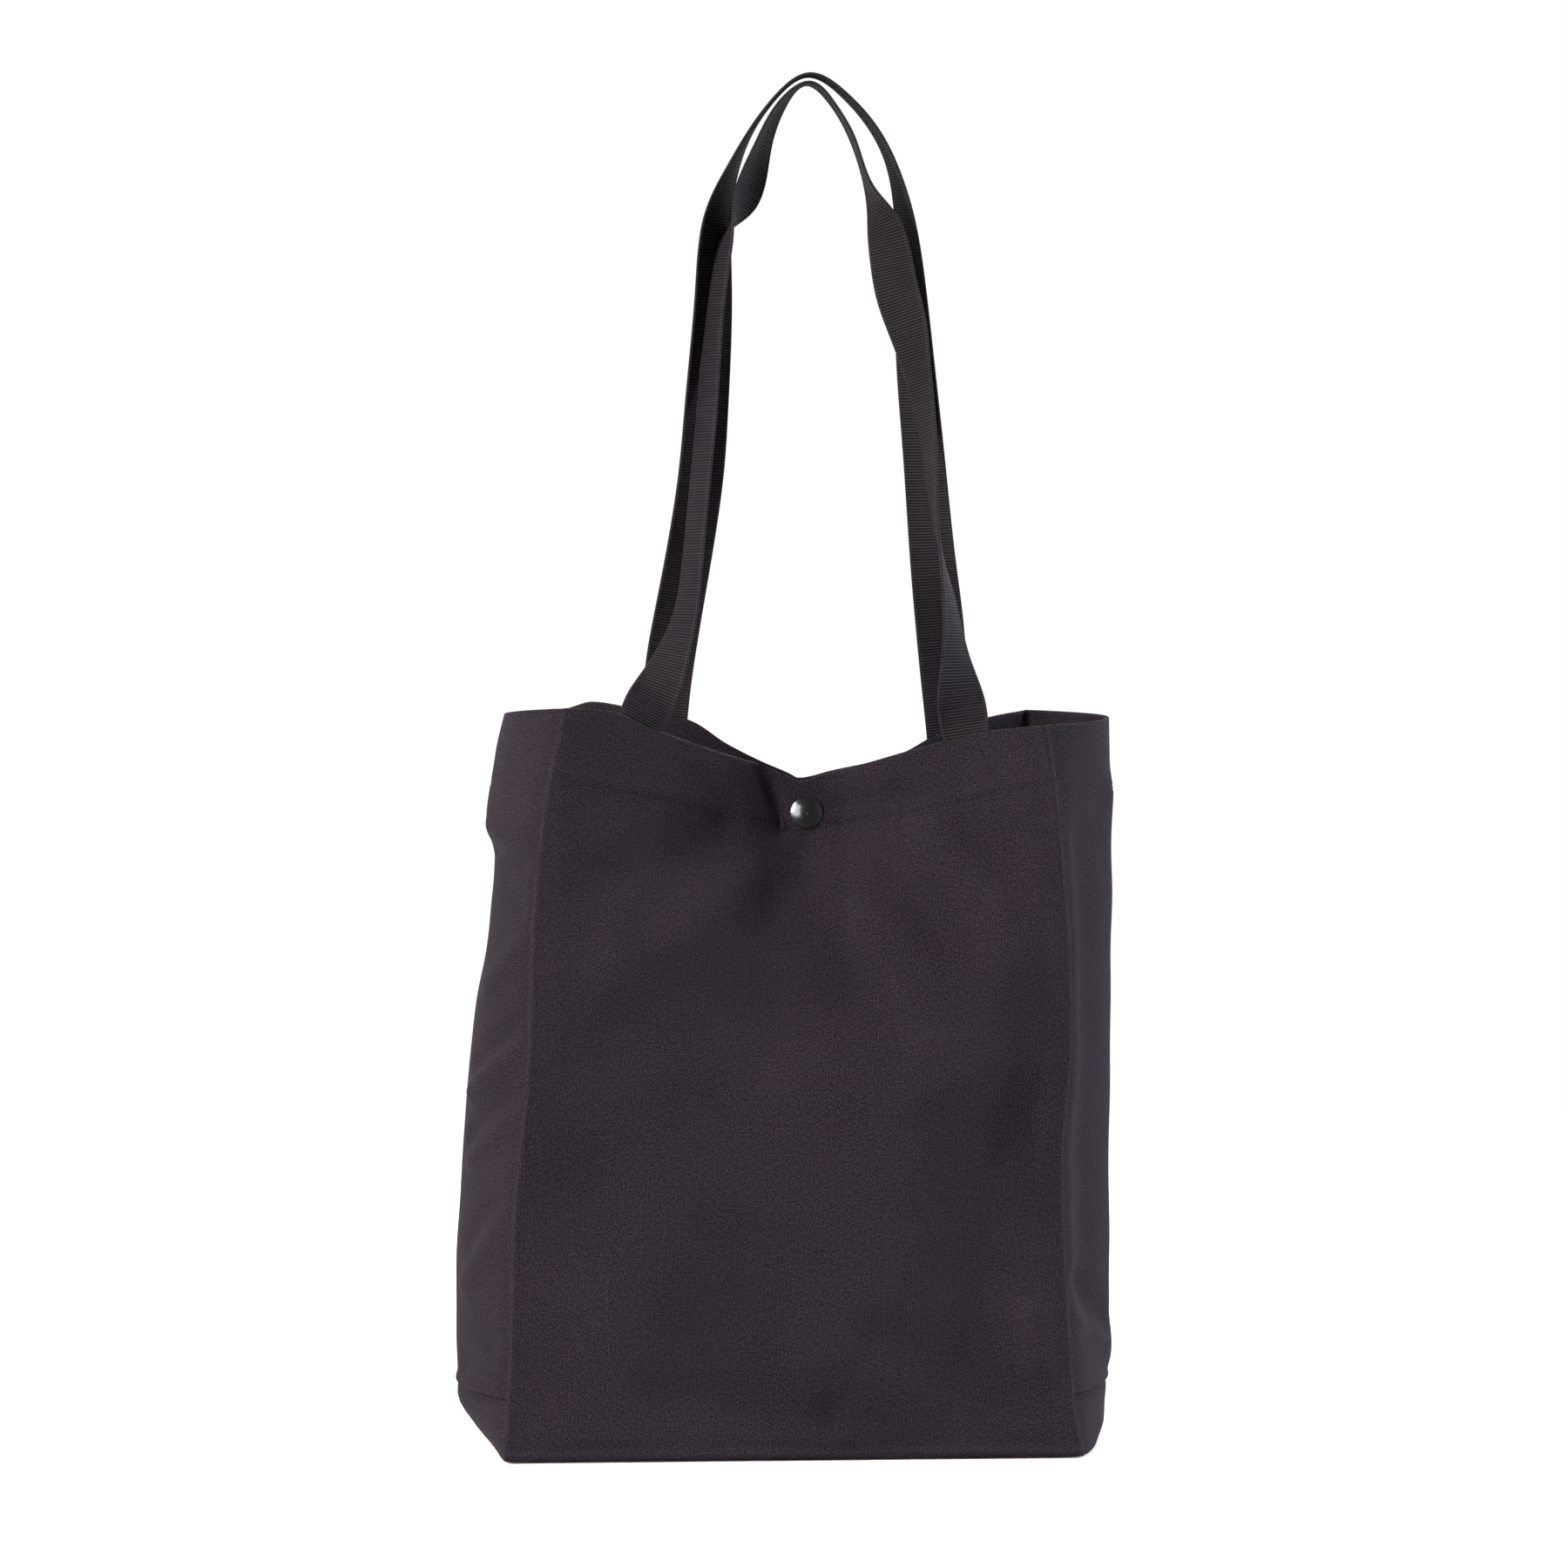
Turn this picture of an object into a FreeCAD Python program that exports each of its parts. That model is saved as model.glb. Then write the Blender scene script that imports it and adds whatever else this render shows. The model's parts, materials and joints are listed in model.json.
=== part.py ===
import FreeCAD, Part

import math
import os
import sys

import Sketcher

# A gusseted tote bag with two webbing handles and one snap button.
# Frame: +X to the right, -Y to the front, +Z up; the origin is the middle of the base, on the floor.
# The snap pulls the front and rear hems together, so the mouth is pinched in the middle and the hem dips
# there. The handles stand up and lean on each other at their tops.

doc = FreeCAD.newDocument("tote_bag")

# ---------------------------------------------------------------- driving dimensions, in millimetres

SIZES = [
    ("body_height", 387, "mouth corners above the floor"),
    ("overall_height", 718, "top of the handles above the floor"),
    ("base_width", 302, "front panel, corner to corner, at the base"),
    ("mouth_width", 248, "front panel, corner to corner, at the mouth"),
    ("base_depth", 120, "front to rear at the base"),
    ("mouth_depth", 108, "front corner to rear corner at the mouth"),
    ("pinch_gap", 13, "front to rear over both panels where the snap holds them"),
    ("pinch_width", 32, "flat stretch of each hem at the snap"),
    ("base_crest", 314, "gusset crest to gusset crest at the base"),
    ("belly_crest", 342, "gusset crest to gusset crest where the gussets bulge most"),
    ("mouth_crest", 318, "gusset crest to gusset crest at the mouth"),
    ("belly_level", 185, "height up to which the front and rear panels are flat"),
    ("pinch_level", 310, "height from which the panels run straight up to the hem"),
    ("hem_dip", 35, "how far the hem dips at the snap"),
    ("facing_height", 36, "height of the band inside the hem"),
    ("turn_up", 36, "how far the base panel turns up at each gusset"),
    ("fabric", 0.9, "thickness of the woven fabric with its coating"),
    ("floor_thick", 1.4, "thickness of the base panel"),
    ("hem_room", 2.7, "room between panel and facing for a handle end"),
    ("side_room", 0.3, "room between gusset and side facing"),
    ("seam_room", 0.6, "room between two sewn pieces at a corner"),
    ("web_width", 25, "width of the handle webbing"),
    ("web_thick", 1.6, "thickness of the handle webbing"),
    ("web_in_hem", 31, "length of each handle end inside the hem"),
    ("front_spacing", 171, "front handle, centre to centre of its ends"),
    ("rear_spacing", 150, "rear handle, centre to centre of its ends"),
    ("swing_level", 383, "height of the line that the handles swing about"),
    ("swing_room", 0.3, "gap between a sewn handle end and its swinging loop"),
    ("swing_ahead", 2.2, "swing line beyond the outer corner of the webbing"),
    ("shoulder_level", 638, "height where the handle loops start to arch"),
    ("front_shoulder", 84, "front loop, leg to leg, at the shoulder"),
    ("rear_shoulder", 100, "rear loop, leg to leg, at the shoulder"),
    ("apex_nesting", 6.4, "how far the front loop lies under the rear one"),
    ("snap_level", 333, "height of the snap's axis"),
    ("cap_diameter", 17, "snap cap"),
    ("cap_height", 3.4, "snap cap, outside the panel"),
    ("post_diameter", 11, "flange of the rear post"),
    ("post_height", 1.2, "flange of the rear post, outside the panel"),
    ("shank_diameter", 3, "shank of the cap and of the post"),
    ("shank_hole", 3.4, "hole for a shank"),
    ("socket_diameter", 12, "snap socket"),
    ("stud_diameter", 4.6, "head of the snap stud"),
    ("neck_diameter", 3.8, "neck of the snap stud"),
    ("bore_diameter", 5.4, "hole of the snap socket"),
    ("groove_diameter", 8, "groove for the spring in the snap socket"),
    ("spring_wire", 0.7, "wire of the spring ring"),
    ("spring_diameter", 6.9, "spring ring, at the middle of its wire"),
    ("patch_width", 28, "patch behind the snap"),
    ("patch_height", 28, "patch behind the snap"),
    ("notch_width", 30, "notch in panel and facing that the patch fills"),
    ("notch_below", 13.5, "notch below the snap's axis"),
    ("tape_width", 8, "binding tape on the inner seams"),
    ("tape_thick", 1.2, "binding tape on the inner seams"),
    ("tape_inset", 3, "binding tape in from the panel's side edge"),
]

sheet = doc.addObject("Spreadsheet::Sheet", "Sizes")
for row, (alias, value, meaning) in enumerate(SIZES, start=1):
    sheet.set(f"A{row}", meaning)
    sheet.set(f"B{row}", str(value))
    sheet.setAlias(f"B{row}", alias)
doc.recompute()


def size(expression):
    """The number that an expression over the sheet gives."""
    return float(sheet.evalExpression(expression))


# ---------------------------------------------------------------- the bag's surfaces, as expressions
# Every sewn sheet follows the same few straight lines in plan at each height, so neighbours stay parallel.

FLOOR = "0"
TURN_UP = "Sizes.turn_up"
BELLY = "Sizes.belly_level"
PINCH = "Sizes.pinch_level"
MOUTH = "Sizes.body_height"
FACING = "(Sizes.body_height - Sizes.facing_height)"
PANEL_LEVELS = [FLOOR, BELLY, PINCH, MOUTH]
CREST_WIDTH = {
    FLOOR: "Sizes.base_crest",
    TURN_UP: "Sizes.belly_crest",
    BELLY: "Sizes.belly_crest",
    PINCH: "Sizes.mouth_crest",
    FACING: "Sizes.mouth_crest",
    MOUTH: "Sizes.mouth_crest",
}
FLAT_HALF = "(Sizes.pinch_width / 2)"


def corner_x(level):
    """Half the panel's width at a height."""
    lost = "(Sizes.base_width - Sizes.mouth_width) / 2"
    return f"(Sizes.base_width / 2 - {lost} * ({level}) / Sizes.body_height)"


def corner_y(level):
    """Half the bag's depth at its corners at a height."""
    lost = "(Sizes.base_depth - Sizes.mouth_depth) / 2"
    return f"(Sizes.base_depth / 2 - {lost} * ({level}) / Sizes.body_height)"


def middle_y(level):
    """Half the bag's depth in the middle at a height: full below, pinched at the snap."""
    return "(Sizes.pinch_gap / 2)" if level in (PINCH, FACING, MOUTH) else corner_y(level)


def panel_y(level, x):
    """Half the bag's depth over a panel at a height, at x outside the flat stretch."""
    rise = f"({corner_y(level)} - {middle_y(level)})"
    run = f"({corner_x(level)} - {FLAT_HALF})"
    return f"({middle_y(level)} + {rise} * ({x} - {FLAT_HALF}) / {run})"


def crest_x(level, y):
    """Half the bag's width over a gusset at a height, at y from the crest to the corner."""
    rise = f"({CREST_WIDTH[level]} / 2 - {corner_x(level)})"
    return f"({corner_x(level)} + {rise} * (1 - ({y}) / {corner_y(level)}))"


# ---------------------------------------------------------------- modelling helpers

def add_body(label):
    """A PartDesign body whose name and label name the piece."""
    body = doc.addObject("PartDesign::Body", label)
    body.Label = label
    return body


def origin_plane(body, role):
    """One of the body's own origin planes."""
    return next(item for item in body.Origin.OriginFeatures if item.Role == role)


def outline_sketch(body, name, plane, corners, offset=None):
    """A closed outline of straight lines; every corner is a pair of expressions, and stays bound to them."""
    sketch = body.newObject("Sketcher::SketchObject", name)
    sketch.AttachmentSupport = [(origin_plane(body, plane), "")]
    sketch.MapMode = "FlatFace"
    if offset is not None:
        sketch.setExpression(".AttachmentOffset.Base.z", offset)
    points = [FreeCAD.Vector(size(x), size(y), 0) for x, y in corners]
    count = len(points)
    for index in range(count):
        sketch.addGeometry(Part.LineSegment(points[index], points[(index + 1) % count]), False)
    for index in range(count):
        sketch.addConstraint(Sketcher.Constraint("Coincident", index, 2, (index + 1) % count, 1))
    for index, corner in enumerate(corners):
        for kind, expression in zip(("DistanceX", "DistanceY"), corner):
            rule = Sketcher.Constraint(kind, -1, 1, index, 1, size(expression))
            number = sketch.addConstraint(rule)
            label = f"{kind[-1].lower()}_{index}"
            sketch.renameConstraint(number, label)
            sketch.setExpression(f"Constraints.{label}", expression)
    return sketch


def add_loft(body, name, sketches):
    """A straight-sided loft through sketches of the same body."""
    loft = body.newObject("PartDesign::AdditiveLoft", name)
    loft.Profile = sketches[0]
    loft.Sections = sketches[1:]
    loft.Ruled = True
    body.Tip = loft
    return loft


def add_pad(body, name, sketch, length, centred=False):
    """A pad whose length is bound to an expression."""
    pad = body.newObject("PartDesign::Pad", name)
    pad.Profile = sketch
    pad.setExpression("Length", length)
    pad.SideType = "Symmetric" if centred else "One side"
    body.Tip = pad
    return pad


def add_cut(body, name, sketch):
    """A cut through the whole body, both ways from its sketch; it must take something away."""
    doc.recompute()
    before = body.Shape.Volume
    cut = body.newObject("PartDesign::Pocket", name)
    cut.Profile = sketch
    cut.Length = 4 * size("Sizes.base_depth")
    cut.SideType = "Symmetric"
    body.Tip = cut
    doc.recompute()
    if body.Shape.Volume > before - 1e-3:
        sys.exit(f"{name} takes nothing away")
    return cut


def add_turned(body, name, profile):
    """A ring or button turned about the snap's axis; the profile is (radius, depth) in expressions."""
    sketch = outline_sketch(body, f"{name}_profile", "XY_Plane", profile)
    turned = body.newObject("PartDesign::Revolution", name)
    turned.Profile = sketch
    turned.ReferenceAxis = (sketch, ["V_Axis"])
    turned.Angle = 360
    body.Tip = turned
    body.setExpression(".Placement.Base.z", "Sizes.snap_level")
    return turned


def strip_across(level, side, near, far, half_width):
    """A thin strip along a panel in plan: side -1 is the front; near and far are depths from outside."""
    ends = half_width
    line = [
        (f"-{ends}", panel_y(level, ends)),
        (f"-{FLAT_HALF}", middle_y(level)),
        (FLAT_HALF, middle_y(level)),
        (ends, panel_y(level, ends)),
    ]
    outer = [(x, f"{side} * ({y} - {near})") for x, y in line]
    inner = [(x, f"{side} * ({y} - {far})") for x, y in line]
    return outer + inner[::-1]


def strip_along(level, side, near, far, half_length):
    """A thin strip along a gusset in plan: side -1 is the left; near and far are depths from outside."""
    line = [
        (f"-{half_length}", crest_x(level, half_length)),
        ("0", crest_x(level, "0")),
        (half_length, crest_x(level, half_length)),
    ]
    outer = [(f"{side} * ({x} - {near})", y) for y, x in line]
    inner = [(f"{side} * ({x} - {far})", y) for y, x in line]
    return outer + inner[::-1]


def stacked_loft(body, name, levels, strip):
    """A loft through one strip for each height."""
    sketches = [
        outline_sketch(body, f"{name}_{number}", "XY_Plane", strip(level), offset=level)
        for number, level in enumerate(levels)
    ]
    return add_loft(body, name, sketches)


# ---------------------------------------------------------------- hem line and notch, cut from panels

HEM_SLOPE = f"(Sizes.hem_dip / ({corner_x(MOUTH)} - {FLAT_HALF}))"
PAST = "10"
SIDE_X = f"({corner_x(MOUTH)} + {PAST})"
SIDE_Z = f"(Sizes.body_height + {PAST} * {HEM_SLOPE})"
DIP_Z = "(Sizes.body_height - Sizes.hem_dip)"
OVER_Z = "(Sizes.body_height + 30)"
NOTCH_X = "(Sizes.notch_width / 2)"
NOTCH_Z = "(Sizes.snap_level - Sizes.notch_below)"


def cut_hem(body, name):
    """Cuts the dipped hem line and the notch for the snap's patch."""
    right = [
        (NOTCH_X, NOTCH_Z),
        (NOTCH_X, DIP_Z),
        (FLAT_HALF, DIP_Z),
        (SIDE_X, SIDE_Z),
        (SIDE_X, OVER_Z),
    ]
    left = [(f"-{x}", z) for x, z in right]
    return add_cut(body, name, outline_sketch(body, f"{name}_outline", "XZ_Plane", left[::-1] + right))


def cut_below(body, name):
    """Cuts a facing's lower edge, parallel to the hem."""
    under = "(Sizes.pinch_level - 10)"
    right = [
        (FLAT_HALF, f"({DIP_Z} - Sizes.facing_height)"),
        (SIDE_X, f"({SIDE_Z} - Sizes.facing_height)"),
        (SIDE_X, under),
    ]
    left = [(f"-{x}", z) for x, z in right]
    return add_cut(body, name, outline_sketch(body, f"{name}_outline", "XZ_Plane", left[::-1] + right))


# ---------------------------------------------------------------- sewn sheets

def make_panel(label, side):
    """Front or rear panel: one sheet from the floor to the hem."""
    body = add_body(label)
    stacked_loft(
        body, f"{label}_sheet", PANEL_LEVELS,
        lambda level: strip_across(level, side, "0", "Sizes.fabric", corner_x(level)),
    )
    cut_hem(body, f"{label}_hem")
    return body


def make_gusset(label, side):
    """Side gusset: one sheet from the turned-up base to the mouth, creased outwards in the middle."""
    body = add_body(label)
    stacked_loft(
        body, f"{label}_sheet", [TURN_UP, BELLY, PINCH, MOUTH],
        lambda level: strip_along(
            level, side, "0", "Sizes.fabric",
            f"({corner_y(level)} - Sizes.fabric - Sizes.seam_room)",
        ),
    )
    return body


def make_base(label):
    """Base panel: the floor of the bag, with both ends turned up to meet the gussets."""
    body = add_body(label)
    half = f"({corner_y(TURN_UP)} - Sizes.fabric - Sizes.seam_room)"
    inside = "0.2 * Sizes.fabric"
    right = [
        (f"({crest_x(FLOOR, half)} - {inside})", f"-{half}"),
        (f"({crest_x(FLOOR, '0')} - {inside})", "0"),
        (f"({crest_x(FLOOR, half)} - {inside})", half),
    ]
    left = [(f"-{x}", y) for x, y in right]
    plate = outline_sketch(body, f"{label}_plate_outline", "XY_Plane", right + left[::-1])
    add_pad(body, f"{label}_plate", plate, "Sizes.floor_thick")
    top = f"({TURN_UP} - Sizes.side_room)"
    for name, side in (("left", -1), ("right", 1)):
        low = outline_sketch(
            body, f"{label}_{name}_low", "XY_Plane",
            strip_along(FLOOR, side, "0", "Sizes.fabric", half),
        )
        high = outline_sketch(
            body, f"{label}_{name}_high", "XY_Plane",
            strip_along(TURN_UP, side, "0", "Sizes.fabric", half), offset=top,
        )
        add_loft(body, f"{label}_{name}_end", [low, high])
    return body


def make_facing(label, side):
    """Band inside the front or rear hem; the handle ends are sewn in behind it."""
    body = add_body(label)
    near = "(Sizes.fabric + Sizes.hem_room)"
    far = "(Sizes.fabric + Sizes.hem_room + Sizes.fabric)"
    stacked_loft(
        body, f"{label}_sheet", [PINCH, MOUTH],
        lambda level: strip_across(
            level, side, near, far, f"({corner_x(level)} - Sizes.fabric - 3 * Sizes.seam_room)"
        ),
    )
    cut_hem(body, f"{label}_hem")
    cut_below(body, f"{label}_lower")
    return body


def make_side_facing(label, side):
    """Band inside the mouth of a gusset."""
    body = add_body(label)
    near = "(Sizes.fabric + Sizes.side_room)"
    far = "(Sizes.fabric + Sizes.side_room + Sizes.fabric)"
    stacked_loft(
        body, f"{label}_sheet", [FACING, MOUTH],
        lambda level: strip_along(
            level, side, near, far,
            f"({corner_y(level)} - 2 * Sizes.fabric - Sizes.hem_room - 5 * Sizes.seam_room)",
        ),
    )
    return body


def make_binding(label, side):
    """Tape that binds the inner seams of one panel: down one side, along the base and up the other."""
    body = add_body(label)
    near = "(Sizes.fabric + Sizes.side_room)"
    far = "(Sizes.fabric + Sizes.side_room + Sizes.tape_thick)"
    low = "(Sizes.floor_thick + Sizes.side_room)"
    top = "(Sizes.body_height - Sizes.facing_height - Sizes.seam_room - Sizes.hem_dip / 4)"
    half_top = f"({corner_x(top)} - Sizes.tape_inset)"
    run = [
        (f"-({corner_x(FLOOR)} - Sizes.tape_inset)", f"{side} * ({corner_y(FLOOR)} - {near})"),
        (f"({corner_x(FLOOR)} - Sizes.tape_inset)", f"{side} * ({corner_y(FLOOR)} - {near})"),
        (f"({corner_x(FLOOR)} - Sizes.tape_inset)", f"{side} * ({corner_y(FLOOR)} - {far})"),
        (f"-({corner_x(FLOOR)} - Sizes.tape_inset)", f"{side} * ({corner_y(FLOOR)} - {far})"),
    ]
    along = outline_sketch(body, f"{label}_run_outline", "XY_Plane", run, offset=low)
    add_pad(body, f"{label}_run", along, "Sizes.tape_width")
    for name, way in (("left", -1), ("right", 1)):
        sketches = []
        for number, level in enumerate((FLOOR, BELLY, PINCH, top)):
            plan = PINCH if level == top else level
            outside = f"({corner_x(level)} - Sizes.tape_inset)"
            inside = f"({outside} - Sizes.tape_width)"
            corners = [
                (f"{way} * {outside}", f"{side} * ({panel_y(plan, outside)} - {near})"),
                (f"{way} * {outside}", f"{side} * ({panel_y(plan, outside)} - {far})"),
                (f"{way} * {inside}", f"{side} * ({panel_y(plan, inside)} - {far})"),
                (f"{way} * {inside}", f"{side} * ({panel_y(plan, inside)} - {near})"),
            ]
            height = low if level == FLOOR else level
            sketches.append(
                outline_sketch(body, f"{label}_{name}_{number}", "XY_Plane", corners, offset=height)
            )
        add_loft(body, f"{label}_{name}_leg", sketches)
    return body


# ---------------------------------------------------------------- handles

PANEL_ANGLE = math.atan2(
    size(f"{corner_y(MOUTH)} - {middle_y(MOUTH)}"), size(f"{corner_x(MOUTH)} - {FLAT_HALF}")
)


def web_depth(spacing):
    """Depth of the middle of a handle end from the bag's centre plane, measured along Y."""
    room = "Sizes.fabric + Sizes.hem_room / 2"
    return f"({panel_y(MOUTH, f'({spacing} / 2)')} - ({room}))"


def make_handle_end(label, side, way, spacing):
    """The length of webbing sewn into the hem under one end of a handle."""
    body = add_body(label)
    half = "Sizes.web_width / 2"
    bottom = "(Sizes.swing_level - Sizes.web_in_hem)"
    corners = [(f"-{half}", bottom), (half, bottom), (half, "Sizes.swing_level"), (f"-{half}", "Sizes.swing_level")]
    sketch = outline_sketch(body, f"{label}_outline", "XZ_Plane", corners)
    add_pad(body, f"{label}_webbing", sketch, "Sizes.web_thick", centred=True)
    body.Placement.Rotation = FreeCAD.Rotation(
        FreeCAD.Vector(0, 0, 1), math.degrees(PANEL_ANGLE) * side * way
    )
    body.setExpression(".Placement.Base.x", f"{way} * {spacing} / 2")
    body.setExpression(".Placement.Base.y", f"{side} * {web_depth(spacing)}")
    return body


def ribbon_section(centre, tangent, across):
    """The webbing's rectangular section at a point of a handle loop."""
    wide = across - tangent * across.dot(tangent)
    wide = wide.normalize() * (size("Sizes.web_width") / 2)
    thick = FreeCAD.Vector(tangent).cross(wide).normalize() * (size("Sizes.web_thick") / 2)
    corners = [centre + wide + thick, centre - wide + thick, centre - wide - thick, centre + wide - thick]
    return Part.makePolygon(corners + corners[:1])


def loop_point(side, spacing, shoulder, apex, along):
    """A point of a handle's centre line; along runs from -1 at the left end to 1 at the right end."""
    way = 1 if along > 0 else -1
    rest = abs(along)
    start = size("Sizes.swing_level + Sizes.swing_room")
    bend = size("Sizes.shoulder_level")
    leg_share = 0.6
    if rest >= leg_share:
        fall = (rest - leg_share) / (1 - leg_share)
        z = bend + (start - bend) * fall
        x = shoulder / 2 + (spacing - shoulder) / 2 * fall ** 2
        turn = fall
    else:
        angle = math.pi / 2 * (1 - rest / leg_share)
        z = bend + (apex - bend) * math.sin(angle)
        x = shoulder / 2 * math.cos(angle)
        turn = 0
    y = side * size(web_depth(f"({spacing})")) * (apex - z) / (apex - start)
    return FreeCAD.Vector(way * x, y, z), turn


def make_loop(label, side, spacing, shoulder, apex):
    """One handle above the hem: webbing that twists from across the bag at its ends to edge-on on top."""
    sections = []
    steps = 40
    for step in range(steps + 1):
        along = 2 * step / steps - 1
        way = 1 if along > 0 else -1
        here, turn = loop_point(side, spacing, shoulder, apex, along)
        back = loop_point(side, spacing, shoulder, apex, max(along - 0.01, -1))[0]
        ahead = loop_point(side, spacing, shoulder, apex, min(along + 0.01, 1))[0]
        angle = math.pi / 2 - (math.pi / 2 - PANEL_ANGLE) * turn ** 1.5
        across = FreeCAD.Vector(way * math.cos(angle), side * math.sin(angle), 0)
        tangent = (ahead - back).normalize()
        if step in (0, steps):
            tangent = FreeCAD.Vector(0, 0, -way)
        sections.append(ribbon_section(here, tangent, across))
    loop = doc.addObject("Part::Feature", label)
    loop.Label = label
    loop.Shape = Part.makeLoft(sections, True, True)
    loop.Placement = FreeCAD.Placement()
    return loop


# ---------------------------------------------------------------- snap button, turned about a line along Y

PANEL_OUT = "(Sizes.pinch_gap / 2)"
FACING_IN = "(Sizes.pinch_gap / 2 - 2 * Sizes.fabric - Sizes.hem_room)"
CLEAR = "0.1"


def make_cap():
    """Front cap with its shank."""
    body = add_body("snap_cap")
    out = f"(-{PANEL_OUT} - {CLEAR})"
    top = f"({out} - Sizes.cap_height)"
    radius = "(Sizes.cap_diameter / 2)"
    shank = "(Sizes.shank_diameter / 2)"
    profile = [
        ("0", top),
        (radius, top),
        (radius, out),
        (shank, out),
        (shank, f"(-{FACING_IN} + 0.6)"),
        ("0", f"(-{FACING_IN} + 0.6)"),
    ]
    turned = add_turned(body, "snap_cap_turned", profile)
    doc.recompute()
    rim = [
        f"Edge{number}"
        for number, edge in enumerate(turned.Shape.Edges, start=1)
        if abs(edge.BoundBox.XLength - size("Sizes.cap_diameter")) < 0.01
        and abs(edge.BoundBox.YMin - size(top)) < 0.01
        and abs(edge.BoundBox.YMax - size(top)) < 0.01
    ]
    dome = body.newObject("PartDesign::Fillet", "snap_cap_dome")
    dome.Base = (turned, rim)
    dome.setExpression("Radius", "Sizes.cap_height - 0.8")
    body.Tip = dome
    return body


def make_socket():
    """Socket on the front facing: a ring with a groove for the spring."""
    body = add_body("snap_socket")
    back = f"(-{FACING_IN} + 0.05)"
    mouth = "(Sizes.fabric)"
    outer = "(Sizes.socket_diameter / 2)"
    bore = "(Sizes.bore_diameter / 2)"
    groove = "(Sizes.groove_diameter / 2)"
    shank = "(Sizes.shank_hole / 2)"
    profile = [
        (shank, back),
        (outer, back),
        (outer, mouth),
        (bore, mouth),
        (bore, f"({mouth} - 0.7)"),
        (groove, f"({mouth} - 0.7)"),
        (groove, f"({mouth} - 1.8)"),
        (bore, f"({mouth} - 1.8)"),
        (bore, f"({back} + 0.7)"),
        (shank, f"({back} + 0.7)"),
    ]
    add_turned(body, "snap_socket_turned", profile)
    return body


def make_spring():
    """Spring ring in the groove of the socket."""
    ring = doc.addObject("Part::Torus", "socket_spring")
    ring.Label = "socket_spring"
    ring.setExpression("Radius1", "Sizes.spring_diameter / 2")
    ring.setExpression("Radius2", "Sizes.spring_wire / 2")
    ring.Placement = FreeCAD.Placement(
        FreeCAD.Vector(0, size("Sizes.fabric - 1.25"), size("Sizes.snap_level")),
        FreeCAD.Rotation(FreeCAD.Vector(1, 0, 0), 90),
    )
    return ring


def make_stud():
    """Stud on the rear facing; its head sits in the socket."""
    body = add_body("snap_stud")
    back = f"({FACING_IN} - 0.05)"
    plate = f"({back} - 0.9)"
    tip = f"(-{FACING_IN} + 1)"
    head = "(Sizes.stud_diameter / 2)"
    neck = "(Sizes.neck_diameter / 2)"
    profile = [
        ("0", tip),
        (neck, tip),
        (head, f"({tip} + 0.5)"),
        (head, f"({tip} + 1.2)"),
        (neck, f"({tip} + 1.8)"),
        (neck, plate),
        ("(Sizes.post_diameter / 2)", plate),
        ("(Sizes.post_diameter / 2)", back),
        ("(Sizes.shank_hole / 2)", back),
        ("(Sizes.shank_hole / 2)", f"({back} - 0.6)"),
        ("0", f"({back} - 0.6)"),
    ]
    add_turned(body, "snap_stud_turned", profile)
    return body


def make_post():
    """Rear post: a flange outside the rear panel, with its shank through the hem."""
    body = add_body("snap_post")
    out = f"({PANEL_OUT} + {CLEAR})"
    shank = "(Sizes.shank_diameter / 2)"
    end = f"({FACING_IN} - 0.5)"
    profile = [
        ("0", end),
        (shank, end),
        (shank, out),
        ("(Sizes.post_diameter / 2)", out),
        ("(Sizes.post_diameter / 2)", f"({out} + Sizes.post_height)"),
        ("0", f"({out} + Sizes.post_height)"),
    ]
    add_turned(body, "snap_post_turned", profile)
    return body


def make_patch(label, side):
    """Patch between panel and facing behind the snap; it fills the notch and travels with the snap."""
    body = add_body(label)
    half = "(Sizes.patch_width / 2)"
    top = f"({DIP_Z} - 1)"
    low = f"({top} - Sizes.patch_height)"
    corners = [(f"-{half}", low), (half, low), (half, top), (f"-{half}", top)]
    middle = "Sizes.pinch_gap / 2 - Sizes.fabric - Sizes.hem_room / 2"
    sketch = outline_sketch(body, f"{label}_outline", "XZ_Plane", corners)
    add_pad(body, f"{label}_sheet", sketch, "Sizes.web_thick", centred=True)
    hole = body.newObject("Sketcher::SketchObject", f"{label}_hole_outline")
    hole.AttachmentSupport = [(origin_plane(body, "XZ_Plane"), "")]
    hole.MapMode = "FlatFace"
    centre = FreeCAD.Vector(0, size("Sizes.snap_level"), 0)
    hole.addGeometry(Part.Circle(centre, FreeCAD.Vector(0, 0, 1), size("Sizes.shank_hole / 2")), False)
    number = hole.addConstraint(Sketcher.Constraint("Radius", 0, size("Sizes.shank_hole / 2")))
    hole.renameConstraint(number, "hole_radius")
    hole.setExpression("Constraints.hole_radius", "Sizes.shank_hole / 2")
    hole.addConstraint(Sketcher.Constraint("PointOnObject", 0, 3, -2))
    number = hole.addConstraint(Sketcher.Constraint("DistanceY", -1, 1, 0, 3, size("Sizes.snap_level")))
    hole.renameConstraint(number, "hole_level")
    hole.setExpression("Constraints.hole_level", "Sizes.snap_level")
    add_cut(body, f"{label}_hole", hole)
    body.setExpression(".Placement.Base.y", f"{side} * ({middle})")
    return body


# ---------------------------------------------------------------- assembly

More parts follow.
